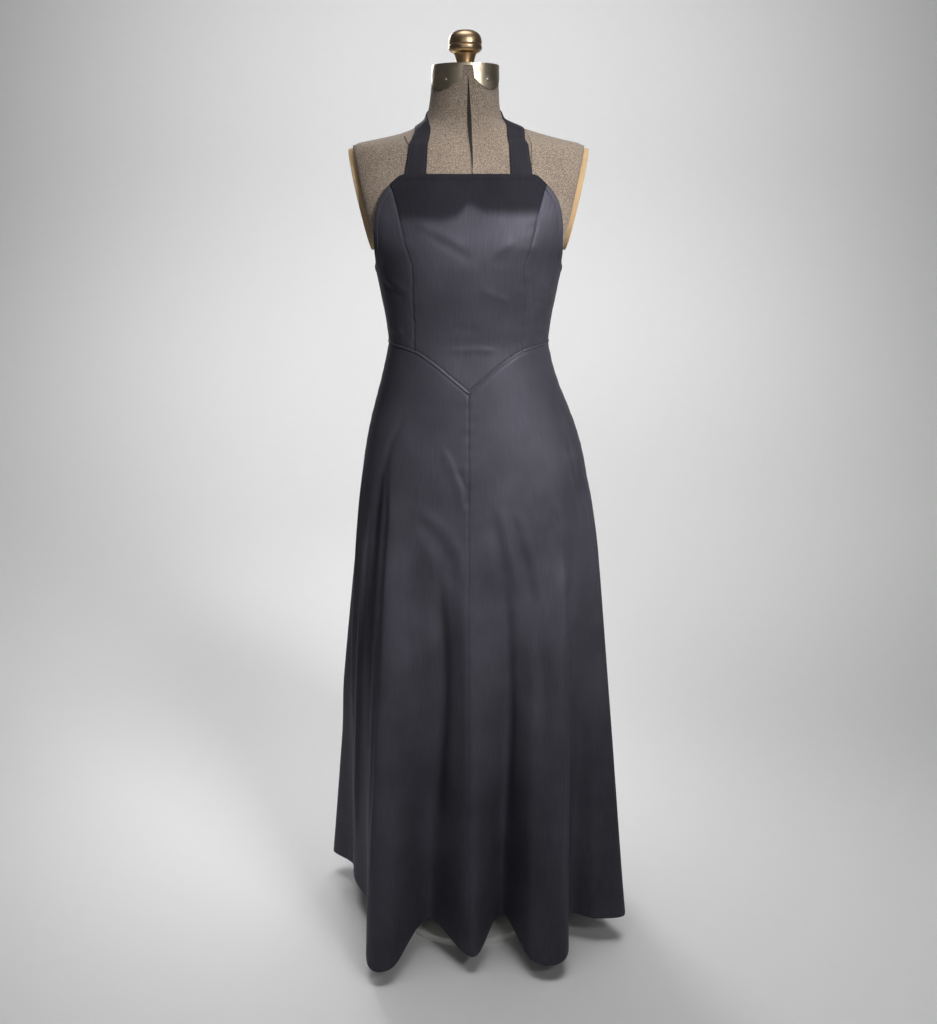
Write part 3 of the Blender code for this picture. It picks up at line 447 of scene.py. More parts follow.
@dataclass(frozen=True)
class Pattern:
    """The shapes that the solids were made from: the form, the dress on it, and its seams."""

    dress_ease: float = 0.0045
    fold_ease_in: float = 0.22
    taper: float = 0.22
    crease_depth: float = 1.5

    def dress_sections(self) -> list[Section]:
        """The dress level by level, from the hem up."""
        ease = self.dress_ease
        top = [
            Section(s.height, s.left + ease, s.right + ease, s.front + ease, s.back + ease, s.power)
            for s in FORM_SECTIONS
            if s.height > SKIRT_SECTIONS[-1].height
        ]
        return SKIRT_SECTIONS + top

    def fold_value(self, column: str, angle: Array) -> Array:
        """A column of the fold table at these angles, the whole way round."""
        around = [row._replace(angle=row.angle + turn) for turn in (-TURN, 0.0, TURN) for row in FOLDS]
        return read_column(around, "angle", column, angle, keep_monotone=False)

    def hem_height(self, angle: Array) -> Array:
        """Height of the hem at these angles."""
        return self.fold_value("hem_z", angle)

    def top_edge(self, angle: Array) -> Array:
        """Height of the bodice's upper edge at these angles."""
        return read_column(TOP_EDGE, "angle", "height", np.abs(wrapped(angle)))

    def waist_seam(self, angle: Array) -> Array:
        """Height of the waist seam at these angles."""
        return read_column(WAIST_SEAM, "angle", "height", np.abs(wrapped(angle)))

    def princess_seam(self, height: Array) -> Array:
        """Angle of the seam over the bust at these heights."""
        return read_column(PRINCESS_SEAM, "height", "angle", height)

    def form_point(self, angle: Array, height: Array) -> Array:
        """Points on the form, before its sides are cut flat."""
        return ring_point(FORM_SECTIONS, angle, height)

    def dress_point(self, angle: Array, height: Array) -> Array:
        """Points on the outside of the dress, with its folds.

        Args:
            angle: angles, in degrees.
            height: heights.

        Returns:
            Points of the solids' outer face.
        """
        sections = self.dress_sections()
        smooth = ring_point(sections, angle, height)
        hem_z = self.hem_height(angle)
        start = self.fold_value("start", angle)
        at_hem = ring_point(sections, angle, hem_z)
        down = np.maximum((start - height) / (start - hem_z), 0.0)
        full = math.hypot(1, self.fold_ease_in) - self.fold_ease_in
        grown = (np.hypot(down, self.fold_ease_in) - self.fold_ease_in) / full
        smooth[..., 0] += grown * (self.fold_value("hem_x", angle) - at_hem[..., 0])
        smooth[..., 1] += grown * (self.fold_value("hem_y", angle) - at_hem[..., 1])
        return smooth

    def metres_a_degree(self, angle: Array, height: Array) -> Array:
        """How far a point of the dress moves for each degree."""
        turn = 0.05
        reach = self.dress_point(angle + turn, height) - self.dress_point(angle - turn, height)
        return np.linalg.norm(reach, axis=-1) / (2 * turn)

    def crease_height(self, crease: Crease, angle: Array, height: Array) -> Array:
        """How far one crease lifts the cloth.

        Args:
            crease: the crease.
            angle: angles, in degrees.
            height: heights.

        Returns:
            The lift, in metres.
        """
        line = np.array(crease.line)
        middle = line.mean(axis=0)
        scale = float(self.metres_a_degree(middle[0], middle[1]))
        xs, zs = line[:, 0] * scale, line[:, 1]
        lengths = np.hypot(np.diff(xs), np.diff(zs))
        so_far = np.concatenate([[0.0], np.cumsum(lengths)])
        nearest = np.full(np.shape(angle), np.inf)
        along, side = np.zeros_like(nearest), np.zeros_like(nearest)
        x = (middle[0] + wrapped(angle - middle[0])) * scale
        for i, length in enumerate(lengths):
            dx, dz = (xs[i + 1] - xs[i]) / length, (zs[i + 1] - zs[i]) / length
            t = np.clip((x - xs[i]) * dx + (height - zs[i]) * dz, 0, length)
            off_x, off_z = x - xs[i] - t * dx, height - zs[i] - t * dz
            distance = np.hypot(off_x, off_z)
            closer = distance < nearest
            nearest = np.where(closer, distance, nearest)
            along = np.where(closer, (so_far[i] + t) / so_far[-1], along)
            side = np.where(closer, np.sign(off_z * dx - off_x * dz), side)
        downhill = zs[0] > zs[-1]
        on_right = side > 0 if downhill else side < 0
        width = np.where(on_right, crease.right_width, crease.left_width)
        fade = smooth_step(along / self.taper) * smooth_step((1 - along) / self.taper)
        return self.crease_depth * crease.rise * fade * bell(nearest, width)

    def relief(self, angle: Array, height: Array) -> Array:
        """All the creases' lift together, at these angles and heights."""
        total = np.zeros(np.shape(angle))
        for crease in CREASES:
            total = total + self.crease_height(crease, angle, height)
        return total


class Link(NamedTuple):
    """A socket by its node and name."""

    node: bpy.types.Node
    socket: str | int


class Shader:
    """A node tree as it is put together."""

    def __init__(self, tree: bpy.types.NodeTree) -> None:
        """Starts on a tree, which keeps the nodes that it has."""
        self.tree = tree

    def add(self, kind: str, values: dict | None = None, **settings: object) -> bpy.types.Node:
        """Adds a node.

        Args:
            kind: the node's type, without its ShaderNode start.
            values: its inputs by name or place, each a plain value or a Link.
            **settings: its own settings.

        Returns:
            The node.
        """
        node = self.tree.nodes.new("ShaderNode" + kind)
        for name, value in settings.items():
            setattr(node, name, value)
        for name, value in (values or {}).items():
            self.set(node, name, value)
        return node

    def set(self, node: bpy.types.Node, name: str | int, value: object) -> None:
        """Gives one input a plain value, or links it."""
        if isinstance(value, Link):
            self.tree.links.new(value.node.outputs[value.socket], node.inputs[name])
        else:
            node.inputs[name].default_value = value

    def math(self, operation: str, first: object, second: object = 0.0) -> Link:
        """A Math node's result."""
        return Link(self.add("Math", {0: first, 1: second}, operation=operation), 0)

    def mix(self, factor: object, first: object, second: object) -> Link:
        """Two colours mixed."""
        node = self.add("Mix", {0: factor, 6: first, 7: second}, data_type="RGBA")
        return Link(node, 2)

    def ramp(self, value: object, low: float, high: float, to_low: float = 0.0, to_high: float = 1.0) -> Link:
        """A value brought from one range to another, smoothly and held at its ends."""
        inputs = {0: value, 1: low, 2: high, 3: to_low, 4: to_high}
        return Link(self.add("MapRange", inputs, interpolation_type="SMOOTHSTEP"), 0)

    def noise(
        self, where: Link, scale: float, detail: float = 3.0, stretch: Sequence[float] = (1, 1, 1)
    ) -> Link:
        """Noise on coordinates that may be stretched."""
        mapped = Link(self.add("Mapping", {0: where, 3: tuple(stretch)}), 0)
        node = self.add("TexNoise", {"Vector": mapped, "Scale": scale, "Detail": detail})
        return Link(node, 0)


def group_node(
    name: str, inputs: dict[str, str], outputs: dict[str, str]
) -> tuple[Shader, bpy.types.Node, bpy.types.Node]:
    """A new shader node group.

    Args:
        name: its name.
        inputs: the type of each input socket.
        outputs: the type of each output socket.

    Returns:
        Its shader, its input node and its output node.
    """
    tree = bpy.data.node_groups.new(name, "ShaderNodeTree")
    for direction, sockets in (("INPUT", inputs), ("OUTPUT", outputs)):
        for socket, kind in sockets.items():
            tree.interface.new_socket(socket, in_out=direction, socket_type="NodeSocket" + kind)
    shader = Shader(tree)
    start = tree.nodes.new("NodeGroupInput")
    end = tree.nodes.new("NodeGroupOutput")
    return shader, start, end


class SharedEffects:
    """The node groups that several finishes use, made once."""

    def __init__(self) -> None:
        """Makes the three groups."""
        self.drift = self.make_drift()
        self.weave = self.make_weave()
        self.smudge = self.make_smudge()

    @staticmethod
    def make_drift() -> bpy.types.NodeTree:
        """Slow variation of tone over a surface, between Low and High."""
        shader, start, end = group_node(
            "tone_drift", {"Vector": "Vector", "Scale": "Float", "Low": "Float", "High": "Float"},
            {"Factor": "Float"},
        )
        noise = shader.add("TexNoise", {"Vector": Link(start, 0), "Scale": Link(start, 1), "Detail": 2.0})
        inputs = {0: Link(noise, 0), 1: 0.35, 2: 0.65, 3: Link(start, 2), 4: Link(start, 3)}
        spread = shader.add("MapRange", inputs)
        shader.set(end, "Factor", Link(spread, 0))
        return shader.tree

    @staticmethod
    def make_weave() -> bpy.types.NodeTree:
        """Threads of a given pitch, on coordinates in metres: a height and uneven streaks along the warp."""
        shader, start, end = group_node(
            "woven_threads", {"Vector": "Vector", "Pitch": "Float", "Crossing": "Float"},
            {"Height": "Float", "Streak": "Float"},
        )
        axes = shader.add("SeparateXYZ", {0: Link(start, 0)})
        turns = shader.math("DIVIDE", 2 * math.pi, Link(start, 1))
        warp = shader.math("SINE", shader.math("MULTIPLY", Link(axes, 0), turns))
        weft = shader.math("SINE", shader.math("MULTIPLY", Link(axes, 1), turns))
        crossed = shader.math("MULTIPLY", weft, Link(start, 2))
        height = shader.math("MULTIPLY_ADD", shader.math("ADD", warp, crossed), 0.25)
        shader.set(height.node, 2, 0.5)
        shader.set(end, "Height", height)
        streak = shader.noise(Link(start, 0), 700.0, 2.0, (1.0, 0.035, 1.0))
        shader.set(end, "Streak", shader.ramp(streak, 0.32, 0.68))
        return shader.tree

    @staticmethod
    def make_smudge() -> bpy.types.NodeTree:
        """Handled metal or paint: fine scratches and soft smudges, as one value from 0 to 1."""
        shader, start, end = group_node(
            "handled_surface", {"Vector": "Vector", "Size": "Float"}, {"Wear": "Float", "Grain": "Float"}
        )
        soft = shader.add("TexNoise", {"Vector": Link(start, 0), "Scale": Link(start, 1), "Detail": 4.0})
        shader.set(end, "Wear", shader.ramp(Link(soft, 0), 0.35, 0.7))
        grain = shader.noise(Link(start, 0), 900.0, 2.0, (1.0, 1.0, 0.08))
        shader.set(end, "Grain", grain)
        return shader.tree


def new_material(name: str) -> tuple[bpy.types.Material, Shader, bpy.types.Node]:
    """A material with its shader tree and its Principled BSDF."""
    material = bpy.data.materials.new(name)
    material.use_nodes = True
    shader = Shader(material.node_tree)
    return material, shader, material.node_tree.nodes["Principled BSDF"]


def shaded(colour: Colour, factor: float) -> tuple[float, float, float, float]:
    """A colour made darker or lighter, with its alpha."""
    return (*(min(channel * factor, 1.0) for channel in colour), 1.0)


@dataclass(frozen=True)
class SatinFinish:
    """Dull-faced black satin: dark navy ground, soft lavender sheen, fine warp streaks."""

    name: str = "black_satin"
    colour: Colour = (0.060, 0.058, 0.072)
    roughness: float = 0.52
    metallic: float = 0.30
    specular: float = 0.12
    edge_tint: Colour = (0.25, 0.25, 0.30)
    sheen: float = 0.04
    sheen_tint: Colour = (0.80, 0.78, 1.0)
    pitch: float = 0.00062
    streak_depth: float = 0.07
    darkening_depth: float = 0.62

    def build(self, effects: SharedEffects) -> bpy.types.Material:
        """Makes the material."""
        material, shader, bsdf = new_material(self.name)
        uv = Link(shader.add("UVMap", uv_map=UV_NAME), 0)
        space = Link(shader.add("TexCoord"), "Object")
        weave = shader.add("Group", node_tree=effects.weave)
        for socket, value in (("Vector", uv), ("Pitch", self.pitch), ("Crossing", 0.35)):
            shader.set(weave, socket, value)
        drift = shader.add("Group", node_tree=effects.drift)
        for socket, value in (("Vector", space), ("Scale", 9.0), ("Low", 0.0), ("High", 1.0)):
            shader.set(drift, socket, value)
        ground = shader.mix(Link(drift, 0), shaded(self.colour, 0.86), shaded(self.colour, 1.16))
        low, high = 1 - self.streak_depth, 1 + self.streak_depth
        streaked = shader.ramp(Link(weave, "Streak"), 0.0, 1.0, low, high)
        # the darkening attribute makes the colour darker: painted shade on the upper centre front and the
        # skirt's gores, and a darker strap
        shade = Link(shader.add("Attribute", attribute_name=DARKENING_NAME), "Fac")
        strength = shader.math("MULTIPLY", streaked, shader.ramp(shade, 0.0, 1.0, 1.0, 1 - self.darkening_depth))
        tinted = shader.add("VectorMath", {0: ground, 3: strength}, operation="SCALE")
        shader.set(bsdf, "Base Color", Link(tinted, 0))
        rough = shader.ramp(Link(drift, 0), 0.0, 1.0, self.roughness - 0.03, self.roughness + 0.04)
        dulled = shader.math("MULTIPLY_ADD", shade, 0.22)
        shader.set(dulled.node, 2, rough)
        shader.set(bsdf, "Roughness", dulled)
        fine = shader.math("MULTIPLY_ADD", Link(weave, "Streak"), 0.6)
        shader.set(fine.node, 2, Link(weave, "Height"))
        bump = shader.add("Bump", {"Strength": 0.22, "Distance": 0.00012, "Height": fine})
        shader.set(bsdf, "Normal", Link(bump, 0))
        bsdf.inputs["Sheen Weight"].default_value = self.sheen
        bsdf.inputs["Sheen Roughness"].default_value = 0.45
        bsdf.inputs["Sheen Tint"].default_value = (*self.sheen_tint, 1.0)
        bsdf.inputs["Metallic"].default_value = self.metallic
        bsdf.inputs["Specular IOR Level"].default_value = self.specular
        bsdf.inputs["Specular Tint"].default_value = (*self.edge_tint, 1.0)
        return material


@dataclass(frozen=True)
class JerseyFinish:
    """Flecked grey-brown knit, pulled tight over the form."""

    name: str = "flecked_jersey"
    dark: Colour = (0.150, 0.112, 0.088)
    light: Colour = (0.350, 0.285, 0.225)
    pitch: float = 0.0013

    def build(self, effects: SharedEffects) -> bpy.types.Material:
        """Makes the material."""
        material, shader, bsdf = new_material(self.name)
        uv = Link(shader.add("UVMap", uv_map=UV_NAME), 0)
        space = Link(shader.add("TexCoord"), "Object")
        weave = shader.add("Group", node_tree=effects.weave)
        for socket, value in (("Vector", uv), ("Pitch", self.pitch), ("Crossing", 0.8)):
            shader.set(weave, socket, value)
        drift = shader.add("Group", node_tree=effects.drift)
        for socket, value in (("Vector", space), ("Scale", 14.0), ("Low", -0.10), ("High", 0.10)):
            shader.set(drift, socket, value)
        fleck = shader.ramp(shader.noise(space, 850.0, 3.0, (1.0, 1.0, 0.7)), 0.36, 0.64)
        spots = shader.ramp(shader.noise(space, 430.0, 2.0), 0.58, 0.74)
        amount = shader.math("ADD", fleck, Link(drift, 0))
        ground = shader.mix(amount, (*self.dark, 1.0), (*self.light, 1.0))
        spotted = shader.mix(spots, ground, shaded(self.dark, 0.72))
        shader.set(bsdf, "Base Color", spotted)
        shader.set(bsdf, "Roughness", shader.ramp(fleck, 0.0, 1.0, 0.82, 0.98))
        height = shader.math("MULTIPLY_ADD", fleck, 0.7)
        shader.set(height.node, 2, Link(weave, "Height"))
        bump = shader.add("Bump", {"Strength": 0.6, "Distance": 0.0004, "Height": height})
        shader.set(bsdf, "Normal", Link(bump, 0))
        bsdf.inputs["Sheen Weight"].default_value = 0.12
        bsdf.inputs["Specular IOR Level"].default_value = 0.2
        return material


@dataclass(frozen=True)
class MetalFinish:
    """A metal, with its smudges and fine grain."""

    name: str
    colour: Colour
    roughness: float
    dulled: float = 0.14
    grain_depth: float = 0.00003

    def build(self, effects: SharedEffects) -> bpy.types.Material:
        """Makes the material."""
        material, shader, bsdf = new_material(self.name)
        space = Link(shader.add("TexCoord"), "Object")
        smudge = shader.add("Group", node_tree=effects.smudge)
        shader.set(smudge, "Vector", space)
        shader.set(smudge, "Size", 60.0)
        tone = shader.mix(Link(smudge, "Wear"), (*self.colour, 1.0), shaded(self.colour, 0.78))
        shader.set(bsdf, "Base Color", tone)
        low, high = self.roughness, self.roughness + self.dulled
        shader.set(bsdf, "Roughness", shader.ramp(Link(smudge, "Wear"), 0.0, 1.0, low, high))
        grain = Link(smudge, "Grain")
        bump = shader.add("Bump", {"Strength": 0.25, "Distance": self.grain_depth, "Height": grain})
        shader.set(bsdf, "Normal", Link(bump, 0))
        bsdf.inputs["Metallic"].default_value = 1.0
        return material


@dataclass(frozen=True)
class CoatFinish:
    """A plain painted, woven or pressed surface, with its mottle, grain and handling marks."""

    name: str
    colour: Colour
    roughness: float
    mottle: float = 0.12
    grain_scale: float = 400.0
    grain_stretch: tuple[float, float, float] = (1.0, 1.0, 1.0)
    grain_depth: float = 0.00015

    def build(self, effects: SharedEffects) -> bpy.types.Material:
        """Makes the material."""
        material, shader, bsdf = new_material(self.name)
        space = Link(shader.add("TexCoord"), "Object")
        smudge = shader.add("Group", node_tree=effects.smudge)
        shader.set(smudge, "Vector", space)
        shader.set(smudge, "Size", 28.0)
        grain = shader.noise(space, self.grain_scale, 4.0, self.grain_stretch)
        both = shader.math("MULTIPLY_ADD", grain, 0.6)
        shader.set(both.node, 2, shader.math("MULTIPLY", Link(smudge, "Wear"), 0.4))
        tone = shader.mix(both, shaded(self.colour, 1 - self.mottle), shaded(self.colour, 1 + self.mottle))
        shader.set(bsdf, "Base Color", tone)
        low, high = self.roughness - 0.06, self.roughness + 0.08
        shader.set(bsdf, "Roughness", shader.ramp(Link(smudge, "Wear"), 0.0, 1.0, low, high))
        bump = shader.add("Bump", {"Strength": 0.4, "Distance": self.grain_depth, "Height": grain})
        shader.set(bsdf, "Normal", Link(bump, 0))
        return material


@dataclass
class Palette:
    """Every finish of the object, as built materials."""

    satin: bpy.types.Material
    jersey: bpy.types.Material
    board: bpy.types.Material
    cap_metal: bpy.types.Material
    brass: bpy.types.Material
    zip_tape: bpy.types.Material
    zip_metal: bpy.types.Material
    steel: bpy.types.Material
    enamel: bpy.types.Material
    thread: bpy.types.Material
    # painted shade: the dark strips in the form's gaps
    gap: bpy.types.Material

    @classmethod
    def build(cls) -> "Palette":
        """Makes the shared effects and every material."""
        effects = SharedEffects()
        return cls(
            satin=SatinFinish().build(effects),
            jersey=JerseyFinish().build(effects),
            board=CoatFinish(
                "tan_board", (0.50, 0.34, 0.18), 0.72, 0.22, 260.0, (1.0, 1.0, 0.12)
            ).build(effects),
            cap_metal=MetalFinish("cap_metal", (0.56, 0.48, 0.36), 0.34).build(effects),
            brass=MetalFinish("knob_brass", (0.50, 0.36, 0.22), 0.28).build(effects),
            zip_tape=CoatFinish("zip_tape", (0.016, 0.016, 0.019), 0.75, 0.2, 1500.0).build(effects),
            zip_metal=MetalFinish("zip_metal", (0.075, 0.075, 0.08), 0.34).build(effects),
            steel=MetalFinish("steel_tube", (0.58, 0.58, 0.59), 0.26).build(effects),
            enamel=CoatFinish(
                "cream_enamel", (0.78, 0.77, 0.73), 0.42, 0.05, 900.0, grain_depth=0.00006
            ).build(effects),
            thread=CoatFinish("black_thread", (0.030, 0.030, 0.036), 0.5, 0.2, 2500.0).build(effects),
            # painted shade inside the form's gaps
            gap=CoatFinish("painted_gap_shade", (0.016, 0.012, 0.010), 0.9, 0.2, 900.0).build(effects),
        )


class BodyFrame:
    """Puts finished pieces into the frame."""

    @staticmethod
    def settle(
        piece: bpy.types.Object, slot: str, stands_for: Sequence[str] = (), body: str = DRESS_BODY
    ) -> bpy.types.Object:
        """Lets a piece ride on its body.

        Args:
            piece: the piece, in place.
            slot: the record's material slot; not used.
            stands_for: the CAD nodes that it replaces.
            body: the body that it rides on.

        Returns:
            The piece.
        """
        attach(piece, body)
        if stands_for:
            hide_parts(*stands_for)
        LOG.info("%s: %d faces", piece.name, len(piece.data.polygons))
        return piece


def finish_mesh(
    bm: bmesh.types.BMesh, name: str, material: bpy.types.Material, sharp: float | None = 50.0
) -> bpy.types.Object:
    """Makes an object of a bmesh.

    Args:
        bm: the shape, which is freed.
        name: the object's name.
        material: its finish.
        sharp: the angle in degrees past which an edge stays sharp, or None for flat faces.

    Returns:
        The object.
    """
    mesh = bpy.data.meshes.new(name)
    bm.to_mesh(mesh)
    bm.free()
    mesh.materials.append(material)
    if sharp is not None:
        mesh.shade_smooth()
        mesh.set_sharp_from_angle(angle=math.radians(sharp))
    piece = bpy.data.objects.new(name, mesh)
    bpy.context.scene.collection.objects.link(piece)
    return piece


def lay_grain(mesh: bpy.types.Mesh, flat: Array, width: float, length: float) -> None:
    """Gives a mesh its grain map, in metres.

    Args:
        mesh: the mesh.
        flat: each point's place on the flat piece, from 0 to 1.
        width: the flat piece's width.
        length: its length.
    """
    corners = np.empty(len(mesh.loops), np.int32)
    mesh.loops.foreach_get("vertex_index", corners)
    layer = mesh.uv_layers.new(name=UV_NAME)
    layer.data.foreach_set("uv", (flat[corners] * (width, length)).astype(np.float32).ravel())


def mark_darkening(piece: bpy.types.Object, shade: Array) -> None:
    """Marks how much darker each point of a piece's cloth is drawn, from 0 to 1: painted shade on the upper
    centre front and on the skirt's gores, and a darker strap.
    """
    attribute = piece.data.attributes.new(DARKENING_NAME, "FLOAT", "POINT")
    attribute.data.foreach_set("value", shade.astype(np.float32))


def edge_dense(t: Array, amount: float) -> Array:
    """Spaces the lines of a grid closer towards both its edges."""
    return t - amount / (2 * math.pi) * np.sin(2 * math.pi * t)


def wall(
    name: str, columns: int, rows: int, place: Place, material: bpy.types.Material,
    size: tuple[float, float], dense: float = 0.0, sharp: float = 50.0,
) -> tuple[bpy.types.Object, Array]:
    """A closed wall over a grid.

    Args:
        name: the object's name.
        columns: squares across.
        rows: squares up.
        place: gives the outer and inner points, for u and v from 0 to 1.
        material: its finish.
        size: the flat piece's width and length, for its grain map.
        dense: how much closer the grid's lines are at its edges, from 0 to 1.
        sharp: the angle past which an edge stays sharp.

    Returns:
        The object, and each point's place on the flat piece.
    """
    bm = bmesh.new()
    bmesh.ops.create_grid(bm, x_segments=columns, y_segments=rows, size=0.5)
    grown = bmesh.ops.extrude_face_region(bm, geom=bm.faces[:], use_keep_orig=True)
    outer_verts = {v for v in grown["geom"] if isinstance(v, bmesh.types.BMVert)}
    verts = list(bm.verts)
    flat = edge_dense(np.array([v.co for v in verts])[:, :2] + 0.5, dense)
    outer, inner = place(flat[:, 0], flat[:, 1])
    for vert, outside, inside in zip(verts, outer, inner):
        vert.co = Vector(outside if vert in outer_verts else inside)
    bmesh.ops.recalc_face_normals(bm, faces=bm.faces[:])
    piece = finish_mesh(bm, name, material, sharp)
    lay_grain(piece.data, flat, *size)
    return piece, flat


def tube(
    name: str, columns: int, rows: int, place: Surface, material: bpy.types.Material,
    size: tuple[float, float],
) -> bpy.types.Object:
    """A closed body of revolution-like rings, with both its ends filled.

    Args:
        name: the object's name.
        columns: squares round it.
        rows: squares up it.
        place: gives the points for u round it and v up it, from 0 to 1.
        material: its finish.
        size: its girth and height, for its grain map.

    Returns:
        The object.
    """
    bm = bmesh.new()
    bmesh.ops.create_grid(bm, x_segments=columns, y_segments=rows, size=0.5)
    grain = bm.loops.layers.uv.new(UV_NAME)
    for face in bm.faces:
        for corner in face.loops:
            corner[grain].uv = ((corner.vert.co.x + 0.5) * size[0], (corner.vert.co.y + 0.5) * size[1])
    verts = list(bm.verts)
    flat = np.array([v.co for v in verts])[:, :2] + 0.5
    for vert, point in zip(verts, place(flat[:, 0], flat[:, 1])):
        vert.co = Vector(point)
    bmesh.ops.remove_doubles(bm, verts=bm.verts[:], dist=1e-6)
    rim = [edge for edge in bm.edges if edge.is_boundary]
    bmesh.ops.holes_fill(bm, edges=rim, sides=0)
    bmesh.ops.recalc_face_normals(bm, faces=bm.faces[:])
    return finish_mesh(bm, name, material)


def lathe(
    name: str, profile: Sequence[TurnedPoint], segments: int, material: bpy.types.Material,
    centre: tuple[float, float, float] = (0, 0, 0), sharp: float = 35.0,
) -> bpy.types.Object:
    """A solid turned about a vertical axis.

    Args:
        name: the object's name.
        profile: its outline, which starts and ends on the axis.
        segments: how many steps round.
        material: its finish.
        centre: where the axis and the outline's zero height are.
        sharp: the angle past which an edge stays sharp.

    Returns:
        The object.
    """
    bm = bmesh.new()
    turn_profile(bm, profile, segments, Matrix.Translation(centre))
    return finish_mesh(bm, name, material, sharp)


def turn_profile(bm: bmesh.types.BMesh, profile: Sequence[TurnedPoint], segments: int, place: Matrix) -> None:
    """Adds a turned shape to a bmesh, at a place."""
    before = set(bm.verts)
    verts = [bm.verts.new((point.radius, 0, point.height)) for point in profile]
    edges = [bm.edges.new(pair) for pair in zip(verts, verts[1:])]
    bmesh.ops.spin(
        bm, geom=verts + edges, cent=(0, 0, 0), axis=(0, 0, 1), angle=2 * math.pi, steps=segments,
        use_merge=True,
    )
    fresh = [vert for vert in bm.verts if vert not in before]
    bmesh.ops.remove_doubles(bm, verts=fresh, dist=1e-7)
    fresh = [vert for vert in bm.verts if vert not in before]
    faces = list({face for vert in fresh for face in vert.link_faces})
    bmesh.ops.recalc_face_normals(bm, faces=faces)
    bmesh.ops.transform(bm, matrix=place, verts=fresh)


def rounded_profile(profile: Sequence[TurnedPoint], steps: int) -> list[TurnedPoint]:
    """The same outline with smooth curves between its points."""
    places = np.arange(len(profile), dtype=float)
    finer = np.linspace(0, len(profile) - 1, (len(profile) - 1) * steps + 1)
    radii = smooth_curve(places, [point.radius for point in profile], finer)
    heights = smooth_curve(places, [point.height for point in profile], finer)
    return [TurnedPoint(float(radius), float(height)) for radius, height in zip(radii, heights)]


def even_path(points: Array, pitch: float) -> tuple[Array, Array]:
    """Points a fixed distance apart along a path.

    Args:
        points: the path.
        pitch: the distance between points.

    Returns:
        The points, and the directions of the path there.
    """
    steps = np.linalg.norm(np.diff(points, axis=0), axis=1)
    so_far = np.concatenate([[0.0], np.cumsum(steps)])
    where = np.arange(pitch / 2, so_far[-1], pitch)
    spots = np.stack([np.interp(where, so_far, points[:, axis]) for axis in range(3)], axis=1)
    ahead = np.stack([np.interp(where + pitch / 4, so_far, points[:, axis]) for axis in range(3)], axis=1)
    behind = np.stack([np.interp(where - pitch / 4, so_far, points[:, axis]) for axis in range(3)], axis=1)
    ways = ahead - behind
    return spots, ways / np.linalg.norm(ways, axis=1, keepdims=True)


@dataclass(frozen=True)
class StitchRun:
    """Machine stitches along a path."""

    pitch: float = 0.0032
    length: float = 0.0027
    thickness: float = 0.00042

    def add(self, bm: bmesh.types.BMesh, path: Array, normals: Array) -> None:
        """Adds a run of stitches to a bmesh.

        Args:
            bm: the bmesh.
            path: points of the line that they follow.
            normals: the cloth's normals there.
        """
        spots, ways = even_path(path, self.pitch)
        nearest = [int(np.argmin(np.sum((path - spot) ** 2, axis=1))) for spot in spots]
        for spot, way, index in zip(spots, ways, nearest):
            along = Vector(way)
            up = Vector(normals[index])
            across = up.cross(along).normalized()
            up = along.cross(across)
            turn = Matrix((along, across, up)).transposed().to_4x4()
            size = Matrix.Diagonal((self.length / 2, self.thickness / 2, self.thickness / 2, 1))
            place = Matrix.Translation(spot) @ turn @ size
            bmesh.ops.create_icosphere(bm, subdivisions=1, radius=1, matrix=place)


def rope(name: str, points: Array, radius: float, material: bpy.types.Material) -> bpy.types.Object:
    """A thin round cord of cloth along a path, closed at its ends."""
    curve = bpy.data.curves.new(name, "CURVE")
    curve.dimensions = "3D"
    curve.bevel_depth = radius
    curve.bevel_resolution = 2
    curve.use_fill_caps = True
    spline = curve.splines.new("POLY")
    spline.points.add(len(points) - 1)
    for point, spot in zip(spline.points, points):
        point.co = (*spot, 1.0)
    drawn = bpy.data.objects.new(name + "_line", curve)
    bpy.context.scene.collection.objects.link(drawn)
    bpy.context.view_layer.update()
    mesh = bpy.data.meshes.new_from_object(drawn)
    bpy.data.objects.remove(drawn)
    mesh.name = name
    mesh.materials.clear()
    mesh.materials.append(material)
    mesh.shade_smooth()
    piece = bpy.data.objects.new(name, mesh)
    bpy.context.scene.collection.objects.link(piece)
    return piece


class Edge(Enum):
    """How a panel's edge is finished."""

    SEAM = "seam"
    TURNED = "turned"
    PIPED = "piped"


@dataclass(frozen=True)
class Panel:
    """One cut piece of the dress, between two seams and from its lower edge to its upper one."""

    name: str
    start: Callable[[Array], Array]
    end: Callable[[Array], Array]
    bottom: Callable[[Array], Array]
    top: Callable[[Array], Array]
    below: Edge
    above: Edge
    start_gap: Callable[[Array], Array]
    end_gap: Callable[[Array], Array]
    columns: int
    rows: int
    cut: tuple[float, float]
    area: float
    held: str
    phase: float


